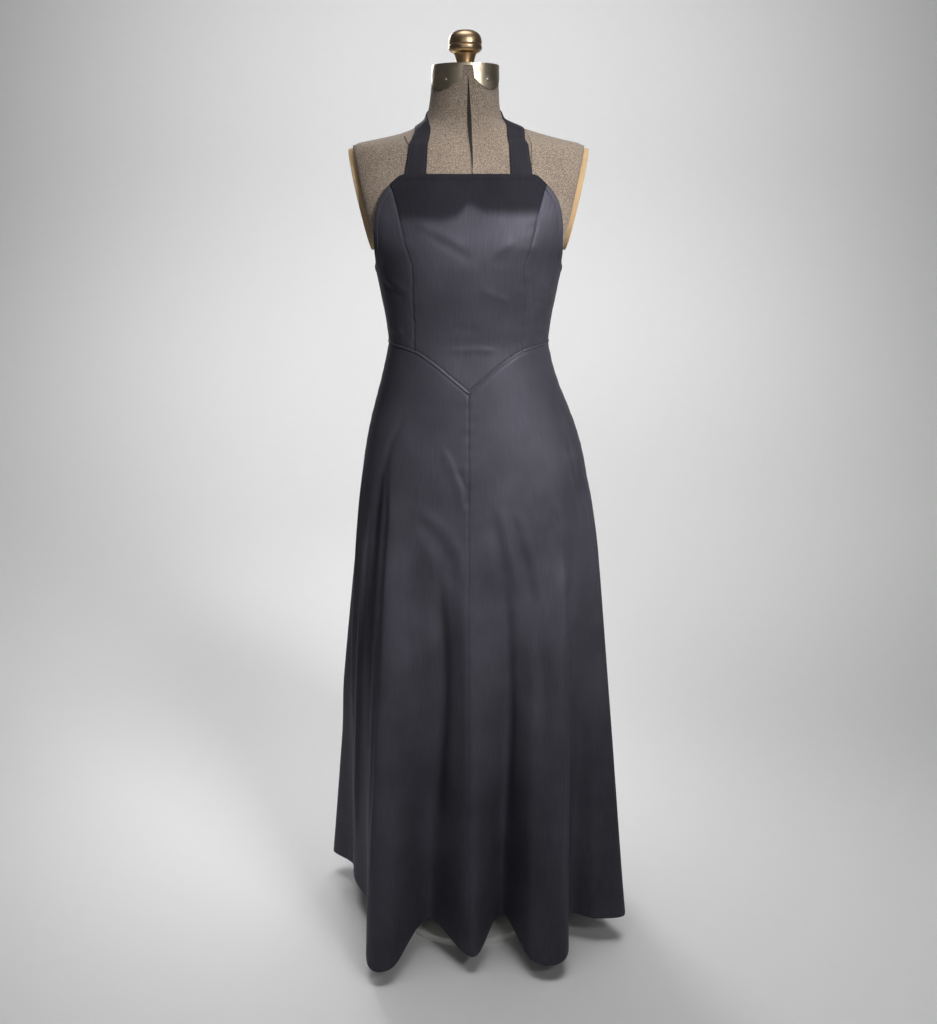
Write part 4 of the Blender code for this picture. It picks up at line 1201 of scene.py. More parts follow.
@dataclass
class Dressmaking:
    """How the dress's panels are shaped from the pattern."""

    pattern: Pattern
    palette: Palette
    cloth: float = 0.0015
    seam_passes: int = 16
    seam_dip: float = 0.0007
    seam_width: float = 0.0022
    pucker: float = 0.00030
    pucker_period: float = 0.021
    pucker_reach: float = 0.010
    strip_width: float = 0.0070
    strip_rise: float = 0.0006
    hem_depth: float = 0.016
    hem_rise: float = 0.0010
    pipe_width: float = 0.0030
    pipe_rise: float = 0.0008
    dense: float = 0.55

    def seam_angle(self, angle_of: Callable, side: int, half_gap: Callable, height: Array) -> Array:
        """A panel's edge beside a seam: side is 1 just past the seam, and -1 just short of it."""
        angle = angle_of(height)
        return angle + side * half_gap(height) / self.pattern.metres_a_degree(angle, height)

    def lay_out(self, panel: Panel, u: Array, v: Array) -> tuple[Array, Array, Array]:
        """Where a panel's grid lies.

        Args:
            panel: the panel.
            u: places across it, from 0 to 1.
            v: places up it, from 0 to 1.

        Returns:
            Angles, heights, and the panel's width at each.
        """
        angle, height = (panel.start(0 * v) + panel.end(0 * v)) / 2, v
        left = right = angle
        for _ in range(self.seam_passes):
            height = panel.bottom(angle) + (panel.top(angle) - panel.bottom(angle)) * v
            left = self.seam_angle(panel.start, 1, panel.start_gap, height)
            right = self.seam_angle(panel.end, -1, panel.end_gap, height)
            angle = left + (right - left) * u
        height = panel.bottom(angle) + (panel.top(angle) - panel.bottom(angle)) * v
        return angle, height, (right - left) * self.pattern.metres_a_degree(angle, height)

    def edge_distance(self, edge: Callable[[Array], Array], angle: Array, height: Array) -> Array:
        """How far points are from an upper or lower edge, square to it."""
        turn = 0.5
        slope = (edge(angle + turn) - edge(angle - turn)) / (2 * turn)
        slope = slope / self.pattern.metres_a_degree(angle, height)
        return np.abs(edge(angle) - height) / np.hypot(1, slope)

    def finish_edges(
        self, panel: Panel, u: Array, width: Array, angle: Array, height: Array
    ) -> tuple[Array, Array]:
        """The lift and the extra thickness that seams and edges give a panel.

        Args:
            panel: the panel.
            u: places across it.
            width: its width there.
            angle: angles.
            height: heights.

        Returns:
            The outer face's lift, and how much thicker the wall is.
        """
        lift, thicker = np.zeros_like(u), np.zeros_like(u)
        for distance, phase in ((u * width, 0.0), ((1 - u) * width, 1.3)):
            lift -= self.seam_dip * bell(distance, self.seam_width)
            wave = np.sin(height / self.pucker_period * 2 * math.pi + panel.phase + phase)
            wave = wave + 0.6 * np.sin(height / self.pucker_period * 3.7 + 2 * panel.phase)
            lift += self.pucker * wave * np.exp(-distance / self.pucker_reach) * bell(0.004 - distance, 0.02)
        for edge, kind in ((panel.bottom, panel.below), (panel.top, panel.above)):
            distance = self.edge_distance(edge, angle, height)
            if kind is Edge.SEAM:
                lift -= self.seam_dip * bell(distance, self.seam_width)
            elif kind is Edge.PIPED:
                ridge = bell(distance - self.pipe_width / 2, self.pipe_width * 0.55)
                lift += self.pipe_rise * ridge
                lift -= self.seam_dip * bell(distance - 1.6 * self.pipe_width, 0.0011)
            elif edge == panel.top:
                inside = smooth_step((self.strip_width + 0.0008 - distance) / 0.0016)
                lift += self.strip_rise * inside * (1 - 0.6 * bell(distance, 0.0010))
                lift -= 0.5 * self.seam_dip * bell(distance - self.strip_width - 0.0008, 0.0012)
                thicker += self.strip_rise * inside
            else:
                inside = smooth_step((self.hem_depth - distance) / 0.004)
                lift -= 0.6 * self.hem_rise * bell(distance, 0.002)
                thicker += self.hem_rise * inside
        return lift, thicker

    def make(self, panel: Panel, stands_for: str) -> bpy.types.Object:
        """Args:
            panel: the panel.
            stands_for: the CAD node that it replaces.

        Returns:
            The piece.
        """

        def place(u: Array, v: Array) -> tuple[Array, Array]:
            """Outer and inner points of the panel."""
            angle, height, width = self.lay_out(panel, u, v)
            outer = self.pattern.dress_point(angle, height)
            normal = outward(self.pattern.dress_point, angle, height)
            lift, thicker = self.finish_edges(panel, u, width, angle, height)
            lift = lift + self.pattern.relief(angle, height)
            outer = outer + lift[:, None] * normal
            return outer, outer - (self.cloth + thicker)[:, None] * normal

        piece, flat = wall(
            panel.name, panel.columns, panel.rows, place, self.palette.satin, panel.cut, self.dense, 60.0
        )
        BodyFrame.settle(piece, "black_satin", [stands_for])
        return piece


def plain_gap(height: Array) -> Array:
    """Half the gap at a plain seam, here drawn closed."""
    return 0.00006 + 0.0 * np.asarray(height, float)


def zip_gap(height: Array) -> Array:
    """Half the gap in the middle of the back: the zip's slot above, and a plain seam below."""
    return np.interp(height, [0.917, 0.932], [0.00006, 0.0025])


def fixed_angle(angle: float) -> Callable[[Array], Array]:
    """A seam that runs straight down at one angle."""
    return lambda height: angle + 0.0 * np.asarray(height, float)


@dataclass
class Bodice:
    """The five panels of the bodice, with the stitching of its edges."""

    making: Dressmaking
    waist_gap: float = 0.00012
    painted_shade_top: float = 1.30
    painted_shade_soft: float = 0.026

    def bottom(self, angle: Array) -> Array:
        """Lower edge, just above the waist seam."""
        return self.making.pattern.waist_seam(angle) + self.waist_gap / 2

    def left_princess(self, height: Array) -> Array:
        """Angle of the left seam over the bust."""
        return -self.making.pattern.princess_seam(height)

    def panels(self) -> list[Panel]:
        """The cut of each panel."""
        pattern = self.making.pattern
        right = pattern.princess_seam
        left = self.left_princess
        side_right, side_left = fixed_angle(SIDE), fixed_angle(-SIDE)
        back_right, back_left = fixed_angle(BACK), fixed_angle(-BACK)
        front_cut, side_cut, back_cut = (0.21, 0.325), (0.125, 0.25), (0.165, 0.115)
        plain = plain_gap
        rows = [
            ("bodice_front_satin", left, right, 100, 150, front_cut, 0.055, plain, plain),
            ("bodice_side_right_satin", right, side_right, 70, 110, side_cut, 0.0193, plain, plain),
            ("bodice_side_left_satin", side_left, left, 70, 110, side_cut, 0.0193, plain, plain),
            ("bodice_back_right_satin", side_right, back_right, 80, 60, back_cut, 0.0173, plain, zip_gap),
            ("bodice_back_left_satin", back_left, side_left, 80, 60, back_cut, 0.0173, zip_gap, plain),
        ]
        return [
            Panel(
                name, start, end, self.bottom, pattern.top_edge, Edge.PIPED, Edge.TURNED, start_gap, end_gap,
                columns, steps_up, cut, area, "stretched", 0.9 * number,
            )
            for number, (name, start, end, columns, steps_up, cut, area, start_gap, end_gap)
            in enumerate(rows)
        ]

    def paint_upper_shade(self, piece: bpy.types.Object) -> None:
        """Marks painted shade on the upper part of the centre front, standing in for the dark reflection of
        its upward-tilted satin, with its soft lower border.
        """
        # painted shade: the centre front is drawn darker above this border
        painted_shade_border = [(-34.0, 1.219), (-21.5, 1.216), (-8.0, 1.223), (0.0, 1.238), (13.5, 1.228), (34.0, 1.228)]
        points = np.array([vert.co for vert in piece.data.vertices])
        angle = np.degrees(np.arctan2(points[:, 0] / 0.115, -points[:, 1] / 0.115))
        edge = smooth_curve([row[0] for row in painted_shade_border], [row[1] for row in painted_shade_border], angle)
        shade = smooth_step((points[:, 2] - edge + self.painted_shade_soft / 2) / self.painted_shade_soft)
        mark_darkening(piece, shade)

    def edge_stitches(self) -> bpy.types.Object:
        """Stitches along the upper edge's strip and above the waist seam."""
        pattern, making = self.making.pattern, self.making
        bm = bmesh.new()
        runs = [
            (pattern.top_edge, -1, making.strip_width + 0.0004, 0.0004),
            (pattern.waist_seam, 1, 1.6 * making.pipe_width, 0.0001),
        ]
        for half in (1, -1):
            angle = half * np.linspace(0.0, 178.0, 900)
            for edge, down, distance, lift in runs:
                height = edge(angle)
                on_edge = pattern.dress_point(angle, height)
                normal = outward(pattern.dress_point, angle, height)
                way = np.gradient(on_edge, axis=0)
                way /= np.linalg.norm(way, axis=1, keepdims=True)
                inward = np.cross(normal, way)
                inward *= np.sign(inward[:, 2:3]) * down
                raised = lift + pattern.relief(angle, height + down * distance)
                path = on_edge + distance * inward + raised[:, None] * normal
                StitchRun().add(bm, path, normal)
        return finish_mesh(bm, "bodice_stitching", making.palette.thread)

    def build(self) -> None:
        """Makes the panels and their stitching."""
        nodes = [
            "bodice_centre_front", "bodice_side_front_right", "bodice_side_front_left",
            "bodice_back_right", "bodice_back_left",
        ]
        for panel, node in zip(self.panels(), nodes):
            piece = self.making.make(panel, node)
            if node == "bodice_centre_front":
                # painted shade on the upper centre front
                self.paint_upper_shade(piece)
        BodyFrame.settle(self.edge_stitches(), "black_satin")


@dataclass
class Skirt:
    """The four flared gores of the skirt."""

    making: Dressmaking
    waist_gap: float = 0.00012
    cut: tuple[float, float] = (0.44, 1.01)
    columns: int = 140
    rows: int = 200
    # painted shade: how much darker each gore is drawn, in the order of the gores below, standing in for how
    # its satin's sheen catches the light
    painted_gore_shades: tuple[float, ...] = (0.0, 0.08, 0.02, 0.22)

    def top(self, angle: Array) -> Array:
        """Upper edge, just below the waist seam."""
        return self.making.pattern.waist_seam(angle) - self.waist_gap / 2

    def build(self) -> None:
        """Makes the gores."""
        gores = [
            ("skirt_front_right", FRONT, SIDE, plain_gap, plain_gap, 0.316),
            ("skirt_back_right", SIDE, BACK, plain_gap, zip_gap, 0.328),
            ("skirt_back_left", -BACK, -SIDE, zip_gap, plain_gap, 0.304),
            ("skirt_front_left", -SIDE, FRONT, plain_gap, plain_gap, 0.308),
        ]
        for number, (node, start, end, start_gap, end_gap, area) in enumerate(gores):
            hem = self.making.pattern.hem_height
            panel = Panel(
                node + "_satin", fixed_angle(start), fixed_angle(end), hem, self.top,
                Edge.TURNED, Edge.SEAM, start_gap, end_gap, self.columns, self.rows, self.cut, area, "hung",
                1.7 * number,
            )
            piece = self.making.make(panel, node)
            # painted shade over the whole gore
            mark_darkening(piece, np.full(len(piece.data.vertices), self.painted_gore_shades[number]))


@dataclass
class HalterStrap:
    """One strap from behind the neckline, up round the neck and down the other side."""

    pattern: Pattern
    palette: Palette
    lift: float = 0.0008
    thickness: float = 0.0014
    edge_roll: float = 0.10
    stitch_inset: float = 0.11
    shade: float = 0.8
    cut: tuple[float, float] = (0.029, 0.46)
    columns: int = 20
    rows: int = 320

    def form_angle(self, x: Array, y: Array, height: Array) -> Array:
        """The form's angle in the direction of (x, y) at this height."""
        left, right, front, back = (
            read_column(FORM_SECTIONS, "height", column, height)
            for column in ("left", "right", "front", "back")
        )
        across = x / np.where(x >= 0, right, left)
        along = y / np.where(y >= 0, back, front)
        return np.degrees(np.arctan2(across, -along))

    def edge(self, which: str, along: Array, side: Array) -> tuple[Array, Array]:
        """Where the strap's inner or outer edge is on the form, as an angle and a height."""
        x, y, height = (
            read_column(STRAP_ROUTE, "along", f"{which}_{axis}", along, keep_monotone=False) for axis in "xyz"
        )
        return self.form_angle(side * x, y, height), height

    def on_strap(self, u: Array, v: Array) -> tuple[Array, Array]:
        """Points under the strap on the form, and the form's normals there."""
        side = np.where(v < 0.5, -1.0, 1.0)
        along = 1 - np.abs(2 * v - 1)
        inner_angle, inner_height = self.edge("inner", along, side)
        outer_angle, outer_height = self.edge("outer", along, side)
        angle = inner_angle + wrapped(outer_angle - inner_angle) * u
        height = inner_height + (outer_height - inner_height) * u
        return self.pattern.form_point(angle, height), outward(self.pattern.form_point, angle, height)

    def place(self, u: Array, v: Array) -> tuple[Array, Array]:
        """Outer and inner points of the strap, rolled at its edges."""
        base, normal = self.on_strap(u, v)
        from_edge = np.minimum(u, 1 - u)
        roll = np.clip(from_edge / self.edge_roll, 0, 1)
        rounded = np.sqrt(roll * (2 - roll))
        groove = 0.25 * bell(from_edge - self.stitch_inset, 0.03)
        wave = 0.10 * np.sin(9 * math.pi * v + 3 * u) * np.sin(math.pi * u)
        upper = self.lift + self.thickness * (0.45 + 0.55 * rounded - groove + wave)
        lower = self.lift + self.thickness * 0.35 * (1 - rounded)
        return base + upper[:, None] * normal, base + lower[:, None] * normal

    def build(self) -> None:
        """Makes the strap and its stitching."""
        strap, _ = wall(
            "halter_strap_satin", self.columns, self.rows, self.place, self.palette.satin, self.cut, 0.5, 60.0
        )
        mark_darkening(strap, np.full(len(strap.data.vertices), self.shade))
        BodyFrame.settle(strap, "black_satin", ["halter_strap"])
        bm = bmesh.new()
        v = np.linspace(0.01, 0.99, 900)
        for inset in (self.stitch_inset, 1 - self.stitch_inset):
            base, normal = self.on_strap(inset + 0 * v, v)
            StitchRun().add(bm, base + (self.lift + 0.8 * self.thickness) * normal, normal)
        BodyFrame.settle(finish_mesh(bm, "strap_stitching", self.palette.thread), "black_satin")


@dataclass
class ZipFastener:
    """The closed zip in the middle of the back."""

    pattern: Pattern
    palette: Palette
    bottom: float = 0.930
    top_drop: float = 0.0015
    width: float = 0.0044
    tape_drop: float = 0.0005
    tape: float = 0.0009
    pitch: float = 0.0015
    tooth: tuple[float, float, float] = (0.0023, 0.0009, 0.0010)
    bevel: float = 0.0002
    stitch_offset: float = 0.0058

    def spine(self, height: Array) -> tuple[Array, Array]:
        """Points and normals of the middle of the back."""
        angle = BACK + 0 * height
        points = self.pattern.dress_point(angle, height) * (0, 1, 1)
        return points, outward(self.pattern.dress_point, angle, height) * (0, 1, 1)

    def make_tape(self) -> bpy.types.Object:
        """The woven tape that the teeth sit on."""
        top = float(self.pattern.top_edge(BACK)) - self.top_drop

        def place(u: Array, v: Array) -> tuple[Array, Array]:
            """Outer and inner points of the tape."""
            points, normals = self.spine(self.bottom + (top - self.bottom) * v)
            sideways = np.stack([(0.5 - u) * self.width, 0 * u, 0 * u], axis=-1)
            outer = points + sideways - self.tape_drop * normals
            return outer, outer - self.tape * normals

        piece, _ = wall("zip_tape", 8, 90, place, self.palette.zip_tape, (self.width, top - self.bottom))
        return piece

    def make_teeth(self) -> bpy.types.Object:
        """The two rows of teeth, each closed into the other."""
        bm = bmesh.new()
        top = float(self.pattern.top_edge(BACK)) - self.top_drop
        heights = np.arange(self.bottom + self.pitch, top - self.pitch, self.pitch / 2)
        points, normals = self.spine(heights)
        for number, (point, normal) in enumerate(zip(points, normals)):
            side = 1 if number % 2 else -1
            across, out = Vector((1, 0, 0)), Vector(normal).normalized()
            turn = Matrix((across, out, across.cross(out))).transposed().to_4x4()
            spot = Vector(point) + across * side * self.width / 8 + out * (self.tooth[1] / 2 - self.tape_drop)
            shape = Matrix.Translation(spot) @ turn @ Matrix.Diagonal((*self.tooth, 1))
            bmesh.ops.create_cube(bm, size=1, matrix=shape)
        bmesh.ops.bevel(
            bm, geom=bm.edges[:], offset=self.bevel, segments=1, affect="EDGES", profile=0.5, material=-1
        )
        return finish_mesh(bm, "zip_teeth", self.palette.zip_metal, None)

    def make_stitches(self) -> bpy.types.Object:
        """A run of stitches down each side of the zip."""
        bm = bmesh.new()
        top = float(self.pattern.top_edge(BACK)) - 0.002
        height = np.linspace(self.bottom - 0.004, top, 300)
        for side in (-1, 1):
            scale = self.pattern.metres_a_degree(BACK + 0 * height, height)
            angle = side * (BACK - self.stitch_offset / scale)
            normal = outward(self.pattern.dress_point, angle, height)
            lift = 0.0002 + self.pattern.relief(angle, height)
            path = self.pattern.dress_point(angle, height) + lift[:, None] * normal
            StitchRun().add(bm, path, normal)
        return finish_mesh(bm, "zip_stitching", self.palette.thread)

    def build(self) -> None:
        """Makes the tape, teeth and stitches, and finishes the slider and pull."""
        BodyFrame.settle(self.make_tape(), "zip_tape", ["zip_chain"])
        BodyFrame.settle(self.make_teeth(), "zip_metal", ["zip_chain"])
        BodyFrame.settle(self.make_stitches(), "zip_tape")
        for node in ("zip_slider", "zip_pull"):
            repaint(node, self.palette.zip_metal)


def repaint(node: str, material: bpy.types.Material) -> None:
    """Gives a CAD node that stays a better finish."""
    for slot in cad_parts[node].material_slots:
        slot.material = material


@dataclass
class FormBody:
    """The form's jersey body, its narrow gaps and the boards in its armholes."""

    pattern: Pattern
    palette: Palette
    bottom: float = 0.760
    neck_top: float = 1.437
    plate_thickness: float = 0.009
    plate_gap: float = 0.0003
    plate_tip: tuple[float, float] = (0.183, 1.322)
    plate_slope: float = 0.2148
    plate_middle: float = 1.247
    plate_half_height: float = 0.077
    plate_half_depth: float = 0.047
    plate_lowest: float = 1.156
    corner: float = 0.006
    lip: float = 0.0007
    columns: int = 168
    rows: int = 150

    def plate_face(self, height: Array) -> Array:
        """How far from the middle the outer face of an arm plate is."""
        return self.plate_tip[0] + (height - self.plate_tip[1]) * self.plate_slope

    def cover_point(self, u: Array, v: Array) -> Array:
        """Points of the jersey cover, flat where the boards go, with softened corners."""
        height = self.bottom + (self.neck_top - self.bottom) * v
        points = self.pattern.form_point(TURN * u, height)
        limit = self.plate_face(height) - self.plate_thickness - self.plate_gap
        reach = np.abs(points[:, 0])
        overlap = np.maximum(self.corner - np.abs(reach - limit), 0) / self.corner
        flattened = np.minimum(reach, limit) - overlap**2 * self.corner / 4
        reach = np.where(height > self.plate_lowest, flattened, reach)
        points[:, 0] = np.sign(points[:, 0]) * reach
        return points

    def gap_lines(self) -> dict[str, tuple[list[GapPoint], bool]]:
        """The form's gaps, each with whether it is at the back."""
        return {
            "front_gap": ([
                GapPoint(0.0052, 1.262, 0.0007),
                GapPoint(0.0052, 1.284, 0.0008),
                GapPoint(0.0051, 1.301, 0.0012),
                GapPoint(0.0023, 1.336, 0.0026),
                GapPoint(0.0012, 1.357, 0.0029),
                GapPoint(0.0002, 1.385, 0.0021),
                GapPoint(0.0000, 1.421, 0.0004),
            ], False),
            "left_gap": ([
                GapPoint(-0.0905, 1.262, 0.0005),
                GapPoint(-0.0880, 1.292, 0.0006),
                GapPoint(-0.0845, 1.311, 0.0008),
                GapPoint(-0.0945, 1.336, 0.0011),
            ], False),
            "right_gap": ([
                GapPoint(0.0915, 1.262, 0.0005),
                GapPoint(0.0919, 1.286, 0.0006),
                GapPoint(0.0924, 1.320, 0.0007),
                GapPoint(0.0885, 1.338, 0.0006),
            ], False),
            "back_gap": ([
                GapPoint(0.0, 1.100, 0.0010), GapPoint(0.0, 1.200, 0.0012), GapPoint(0.0, 1.320, 0.0014),
                GapPoint(0.0, 1.400, 0.0008),
            ], True),
        }

    def make_gap(self, name: str, points: Sequence[GapPoint], behind: bool) -> None:
        """A narrow gap laid on the form: a dark strip of painted shade, for the shade inside the slit,
        between two turned edges of jersey.

        Args:
            name: the gap's name.
            points: its line.
            behind: whether it is on the form's back.
        """
        low, high = points[0].height, points[-1].height

        def at(height: Array, across: Array) -> tuple[Array, Array]:
            """The form's angle and height at a place across the gap."""
            x = read_column(points, "height", "x", height) + across * read_column(
                points, "height", "half_width", height)
            angle = self.solve_angle(x, height, behind)
            return self.pattern.form_point(angle, height), outward(self.pattern.form_point, angle, height)

        def place(u: Array, v: Array) -> tuple[Array, Array]:
            """Outer and inner points of the dark strip of painted shade."""
            base, normal = at(low + (high - low) * v, 2 * u - 1)
            return base + 0.00045 * normal, base - 0.0004 * normal

        strip, _ = wall(name, 6, 80, place, self.palette.gap, (0.004, high - low))
        BodyFrame.settle(strip, "flecked_jersey")
        height = np.linspace(low, high, 90)
        for side, word in ((-1, "left"), (1, "right")):
            base, normal = at(height, side * 1.35 + 0 * height)
            lip = rope(f"{name}_{word}_lip", base + 0.2 * self.lip * normal, self.lip, self.palette.jersey)
            BodyFrame.settle(lip, "flecked_jersey")

    def solve_angle(self, x: Array, height: Array, behind: bool) -> Array:
        """The angle at which the form is this far to the side."""
        start = BACK if behind else FRONT
        angle = start + 0 * x
        for _ in range(12):
            here = self.pattern.form_point(angle, height)[..., 0]
            slope = (self.pattern.form_point(angle + 0.5, height)[..., 0] - here) / 0.5
            angle = np.clip(angle + (x - here) / slope, start - 88, start + 88)
        return angle

    def make_plate(self, side: int, name: str) -> bpy.types.Object:
        """One oval board, with rounded rims."""
        bm = bmesh.new()
        bmesh.ops.create_circle(bm, cap_ends=True, segments=96, radius=1)
        grown = bmesh.ops.extrude_face_region(bm, geom=bm.faces[:], use_keep_orig=True)
        top = [v for v in grown["geom"] if isinstance(v, bmesh.types.BMVert)]
        bmesh.ops.translate(bm, verts=top, vec=(0, 0, 1))
        shape = Matrix.Diagonal((self.plate_half_depth, self.plate_half_height, self.plate_thickness, 1))
        bmesh.ops.transform(bm, matrix=shape, verts=bm.verts[:])
        rim = [e for e in bm.edges if len({round(v.co.z, 6) for v in e.verts}) == 1]
        bmesh.ops.bevel(bm, geom=rim, offset=0.0016, segments=4, affect="EDGES", profile=0.5, material=-1)
        lean = Vector((side * self.plate_slope, 0, 1)).normalized()
        forward = Vector((0, side, 0))
        turn = Matrix((forward, lean, forward.cross(lean))).transposed().to_4x4()
        inner_face = side * (self.plate_face(self.plate_middle) - self.plate_thickness)
        bmesh.ops.transform(
            bm, matrix=Matrix.Translation((inner_face, 0, self.plate_middle)) @ turn, verts=bm.verts[:]
        )
        bmesh.ops.recalc_face_normals(bm, faces=bm.faces[:])
        return finish_mesh(bm, name, self.palette.board, 30.0)

    def build(self) -> None:
        """Makes the cover, its gaps and the boards."""
        size = (0.85, self.neck_top - self.bottom)
        cover = tube(
            "torso_cover", self.columns, self.rows, self.cover_point, self.palette.jersey, size
        )
        BodyFrame.settle(cover, "flecked_jersey", ["form_torso"])
        for name, (points, behind) in self.gap_lines().items():
            self.make_gap(name, points, behind)
        for side, word in ((-1, "left"), (1, "right")):
            plate = self.make_plate(side, f"arm_board_{word}")
            BodyFrame.settle(plate, "tan_board", [f"form_arm_plate_{word}"])


@dataclass
class NeckTop:
    """The metal cap with its four screwed flaps, and the turned knob on it."""

    pattern: Pattern
    palette: Palette
    lift: float = 0.0004
    thickness: float = 0.0012
    rim: float = 1.4345
    lowest: float = 1.4020
    flap_rise: float = 0.0170
    flaps: int = 4
    gap_half_angle: float = 9.0
    neck_top: float = 1.437
    knob_bottom: float = 1.4390
    neck_middle: float = -0.005
    screw_height: float = 1.416
    screw_angle: float = 37.0
    columns: int = 240

    def edge(self, angle: Array) -> Array:
        """Height of the cap's lower edge: rounded flaps with narrow gaps between them."""
        quarter = TURN / self.flaps
        from_middle = np.abs((angle % quarter) - quarter / 2)
        reach = quarter / 2 - self.gap_half_angle
        rounded = self.lowest + self.flap_rise * np.clip(from_middle / reach, 0, 1) ** 2
        return rounded + (self.rim - rounded) * smooth_step((from_middle - reach + 0.5) / 1.0)

    def cap_point(self, u: Array, v: Array) -> Array:
        """Points of the cap: v runs down the inside, round the edge and up the outside."""
        angle = TURN * u
        drop = 1 - np.abs(2 * v - 1)
        outside = smooth_step((v - 0.48) / 0.04)
        drop = np.minimum(drop / 0.96, 1.0)
        height = self.neck_top - (self.neck_top - self.edge(angle)) * drop
        lift = self.lift + self.thickness * outside
        points = self.pattern.form_point(angle, height)
        points = points + lift[:, None] * outward(self.pattern.form_point, angle, height)
        crown = smooth_step((0.0015 - (self.neck_top - height)) / 0.0015)
        points[:, 2] = points[:, 2] + crown * (self.neck_top + lift - points[:, 2])
        points[:, :2] = points[:, :2] * (1 - 0.008 * crown * outside)[:, None]
        return points

    def make_screws(self) -> bpy.types.Object:
        """A round-headed screw with a recess in each flap."""
        head = [
            TurnedPoint(0.0, 0.0007), TurnedPoint(0.0008, 0.0007), TurnedPoint(0.0010, 0.0013),
            TurnedPoint(0.0017, 0.0012), TurnedPoint(0.0023, 0.0008), TurnedPoint(0.0025, 0.0),
            TurnedPoint(0.0, 0.0),
        ]
        bm = bmesh.new()
        for angle in (-self.screw_angle, self.screw_angle, BACK - self.screw_angle, BACK + self.screw_angle):
            where = np.array([angle]), np.array([self.screw_height])
            base = Vector(self.pattern.form_point(*where)[0])
            normal = Vector(outward(self.pattern.form_point, *where)[0])
            turn = normal.to_track_quat("Z", "Y").to_matrix().to_4x4()
            spot = base + (self.lift + self.thickness) * normal
            turn_profile(bm, head, 20, Matrix.Translation(spot) @ turn)
        return finish_mesh(bm, "cap_screws", self.palette.steel, 35.0)

    def make_knob(self) -> bpy.types.Object:
        """The knob: a flared stem, a grooved rim and a dome."""
        foot = [TurnedPoint(0.0, 0.0), TurnedPoint(0.0119, 0.0), TurnedPoint(0.0125, 0.0006)]
        upper = [
            TurnedPoint(0.0125, 0.0006), TurnedPoint(0.0144, 0.0090), TurnedPoint(0.0174, 0.0163),
            TurnedPoint(0.0225, 0.0190), TurnedPoint(0.0250, 0.0225), TurnedPoint(0.0252, 0.0265),
            TurnedPoint(0.0241, 0.0282), TurnedPoint(0.0250, 0.0300), TurnedPoint(0.0246, 0.0350),
            TurnedPoint(0.0225, 0.0410), TurnedPoint(0.0180, 0.0455), TurnedPoint(0.0100, 0.0487),
            TurnedPoint(0.0, 0.0497),
        ]
        profile = foot[:-1] + rounded_profile(upper, 5)
        return lathe("neck_knob", profile, 96, self.palette.brass, (self.neck_middle, 0, self.knob_bottom))

    def build(self) -> None:
        """Makes the cap, its screws and the knob."""
        cap = tube("neck_cap", self.columns, 50, self.cap_point, self.palette.cap_metal, (0.3, 0.04))
        BodyFrame.settle(cap, "brass", ["form_neck_cap"])
        BodyFrame.settle(self.make_screws(), "brass")
        BodyFrame.settle(self.make_knob(), "brass", ["form_knob"])


@dataclass
class Stand:
    """The pole under the form and the round foot that it stands in."""

    palette: Palette
    form_bottom: float = 0.760
    pole_radius: float = 0.0127
    flange_radius: float = 0.050
    flange: float = 0.007
    foot_radius: float = 0.135
    foot_height: float = 0.060
    socket_depth: float = 0.040
    gap: float = 0.0003

    def pole_outline(self) -> list[TurnedPoint]:
        """Outline of the pole and its flange, with eased corners."""
        top = self.form_bottom - self.gap
        low = self.foot_height - self.socket_depth + self.gap
        ease = 0.0008
        return [
            TurnedPoint(0, low),
            TurnedPoint(self.pole_radius - ease, low),
            TurnedPoint(self.pole_radius, low + ease),
            TurnedPoint(self.pole_radius, top - 3 * self.flange),
            TurnedPoint(1.6 * self.pole_radius, top - self.flange),
            TurnedPoint(self.flange_radius - ease, top - self.flange),
            TurnedPoint(self.flange_radius, top - self.flange + ease),
            TurnedPoint(self.flange_radius, top - ease),
            TurnedPoint(self.flange_radius - ease, top),
            TurnedPoint(0, top),
        ]

    def foot_outline(self) -> list[TurnedPoint]:
        """Outline of the foot and its socket, with eased corners."""
        socket = self.pole_radius + self.gap
        floor = self.foot_height - self.socket_depth
        radius, ease = self.foot_radius, 0.0008
        return [
            TurnedPoint(0, 0),
            TurnedPoint(radius - ease, 0),
            TurnedPoint(radius, ease),
            TurnedPoint(radius, 0.0092),
            TurnedPoint(radius - 0.0012, 0.0122),
            TurnedPoint(radius - 0.004, 0.0140),
            TurnedPoint(0.100, 0.0172),
            TurnedPoint(0.060, 0.0220),
            TurnedPoint(0.036, 0.0258),
            TurnedPoint(0.027, 0.0290),
            TurnedPoint(0.0228, 0.0330),
            TurnedPoint(0.0220, 0.0370),
            TurnedPoint(0.0220, self.foot_height - ease),
            TurnedPoint(0.0220 - ease, self.foot_height),
            TurnedPoint(socket + ease, self.foot_height),
            TurnedPoint(socket, self.foot_height - ease),
            TurnedPoint(socket, floor),
            TurnedPoint(0, floor),
        ]

    def build(self) -> None:
        """Makes the pole and the foot."""
        pole = lathe("pole_tube", self.pole_outline(), 64, self.palette.steel)
        BodyFrame.settle(pole, "steel_tube", ["stand_pole"])
        foot = lathe("foot_plate", self.foot_outline(), 128, self.palette.enamel)
        BodyFrame.settle(foot, "cream_enamel", ["stand_foot"])


@dataclass(frozen=True)
class SoftLight:
    """A square soft light."""

    name: str
    place: tuple[float, float, float]
    aim: tuple[float, float, float]
    size: tuple[float, float]
    power: float
    spread: float
    colour: Colour = (1.0, 1.0, 1.0)

    def build(self) -> None:
        """Hangs the light."""
        data = bpy.data.lights.new(self.name, "AREA")
        data.shape = "RECTANGLE"
        data.size, data.size_y = self.size
        data.energy = self.power
        data.spread = math.radians(self.spread)
        data.color = self.colour
        lamp = bpy.data.objects.new(self.name, data)
        lamp.location = self.place
        way = Vector(self.aim) - Vector(self.place)
        lamp.rotation_euler = way.to_track_quat("-Z", "Y").to_euler()
        bpy.context.scene.collection.objects.link(lamp)


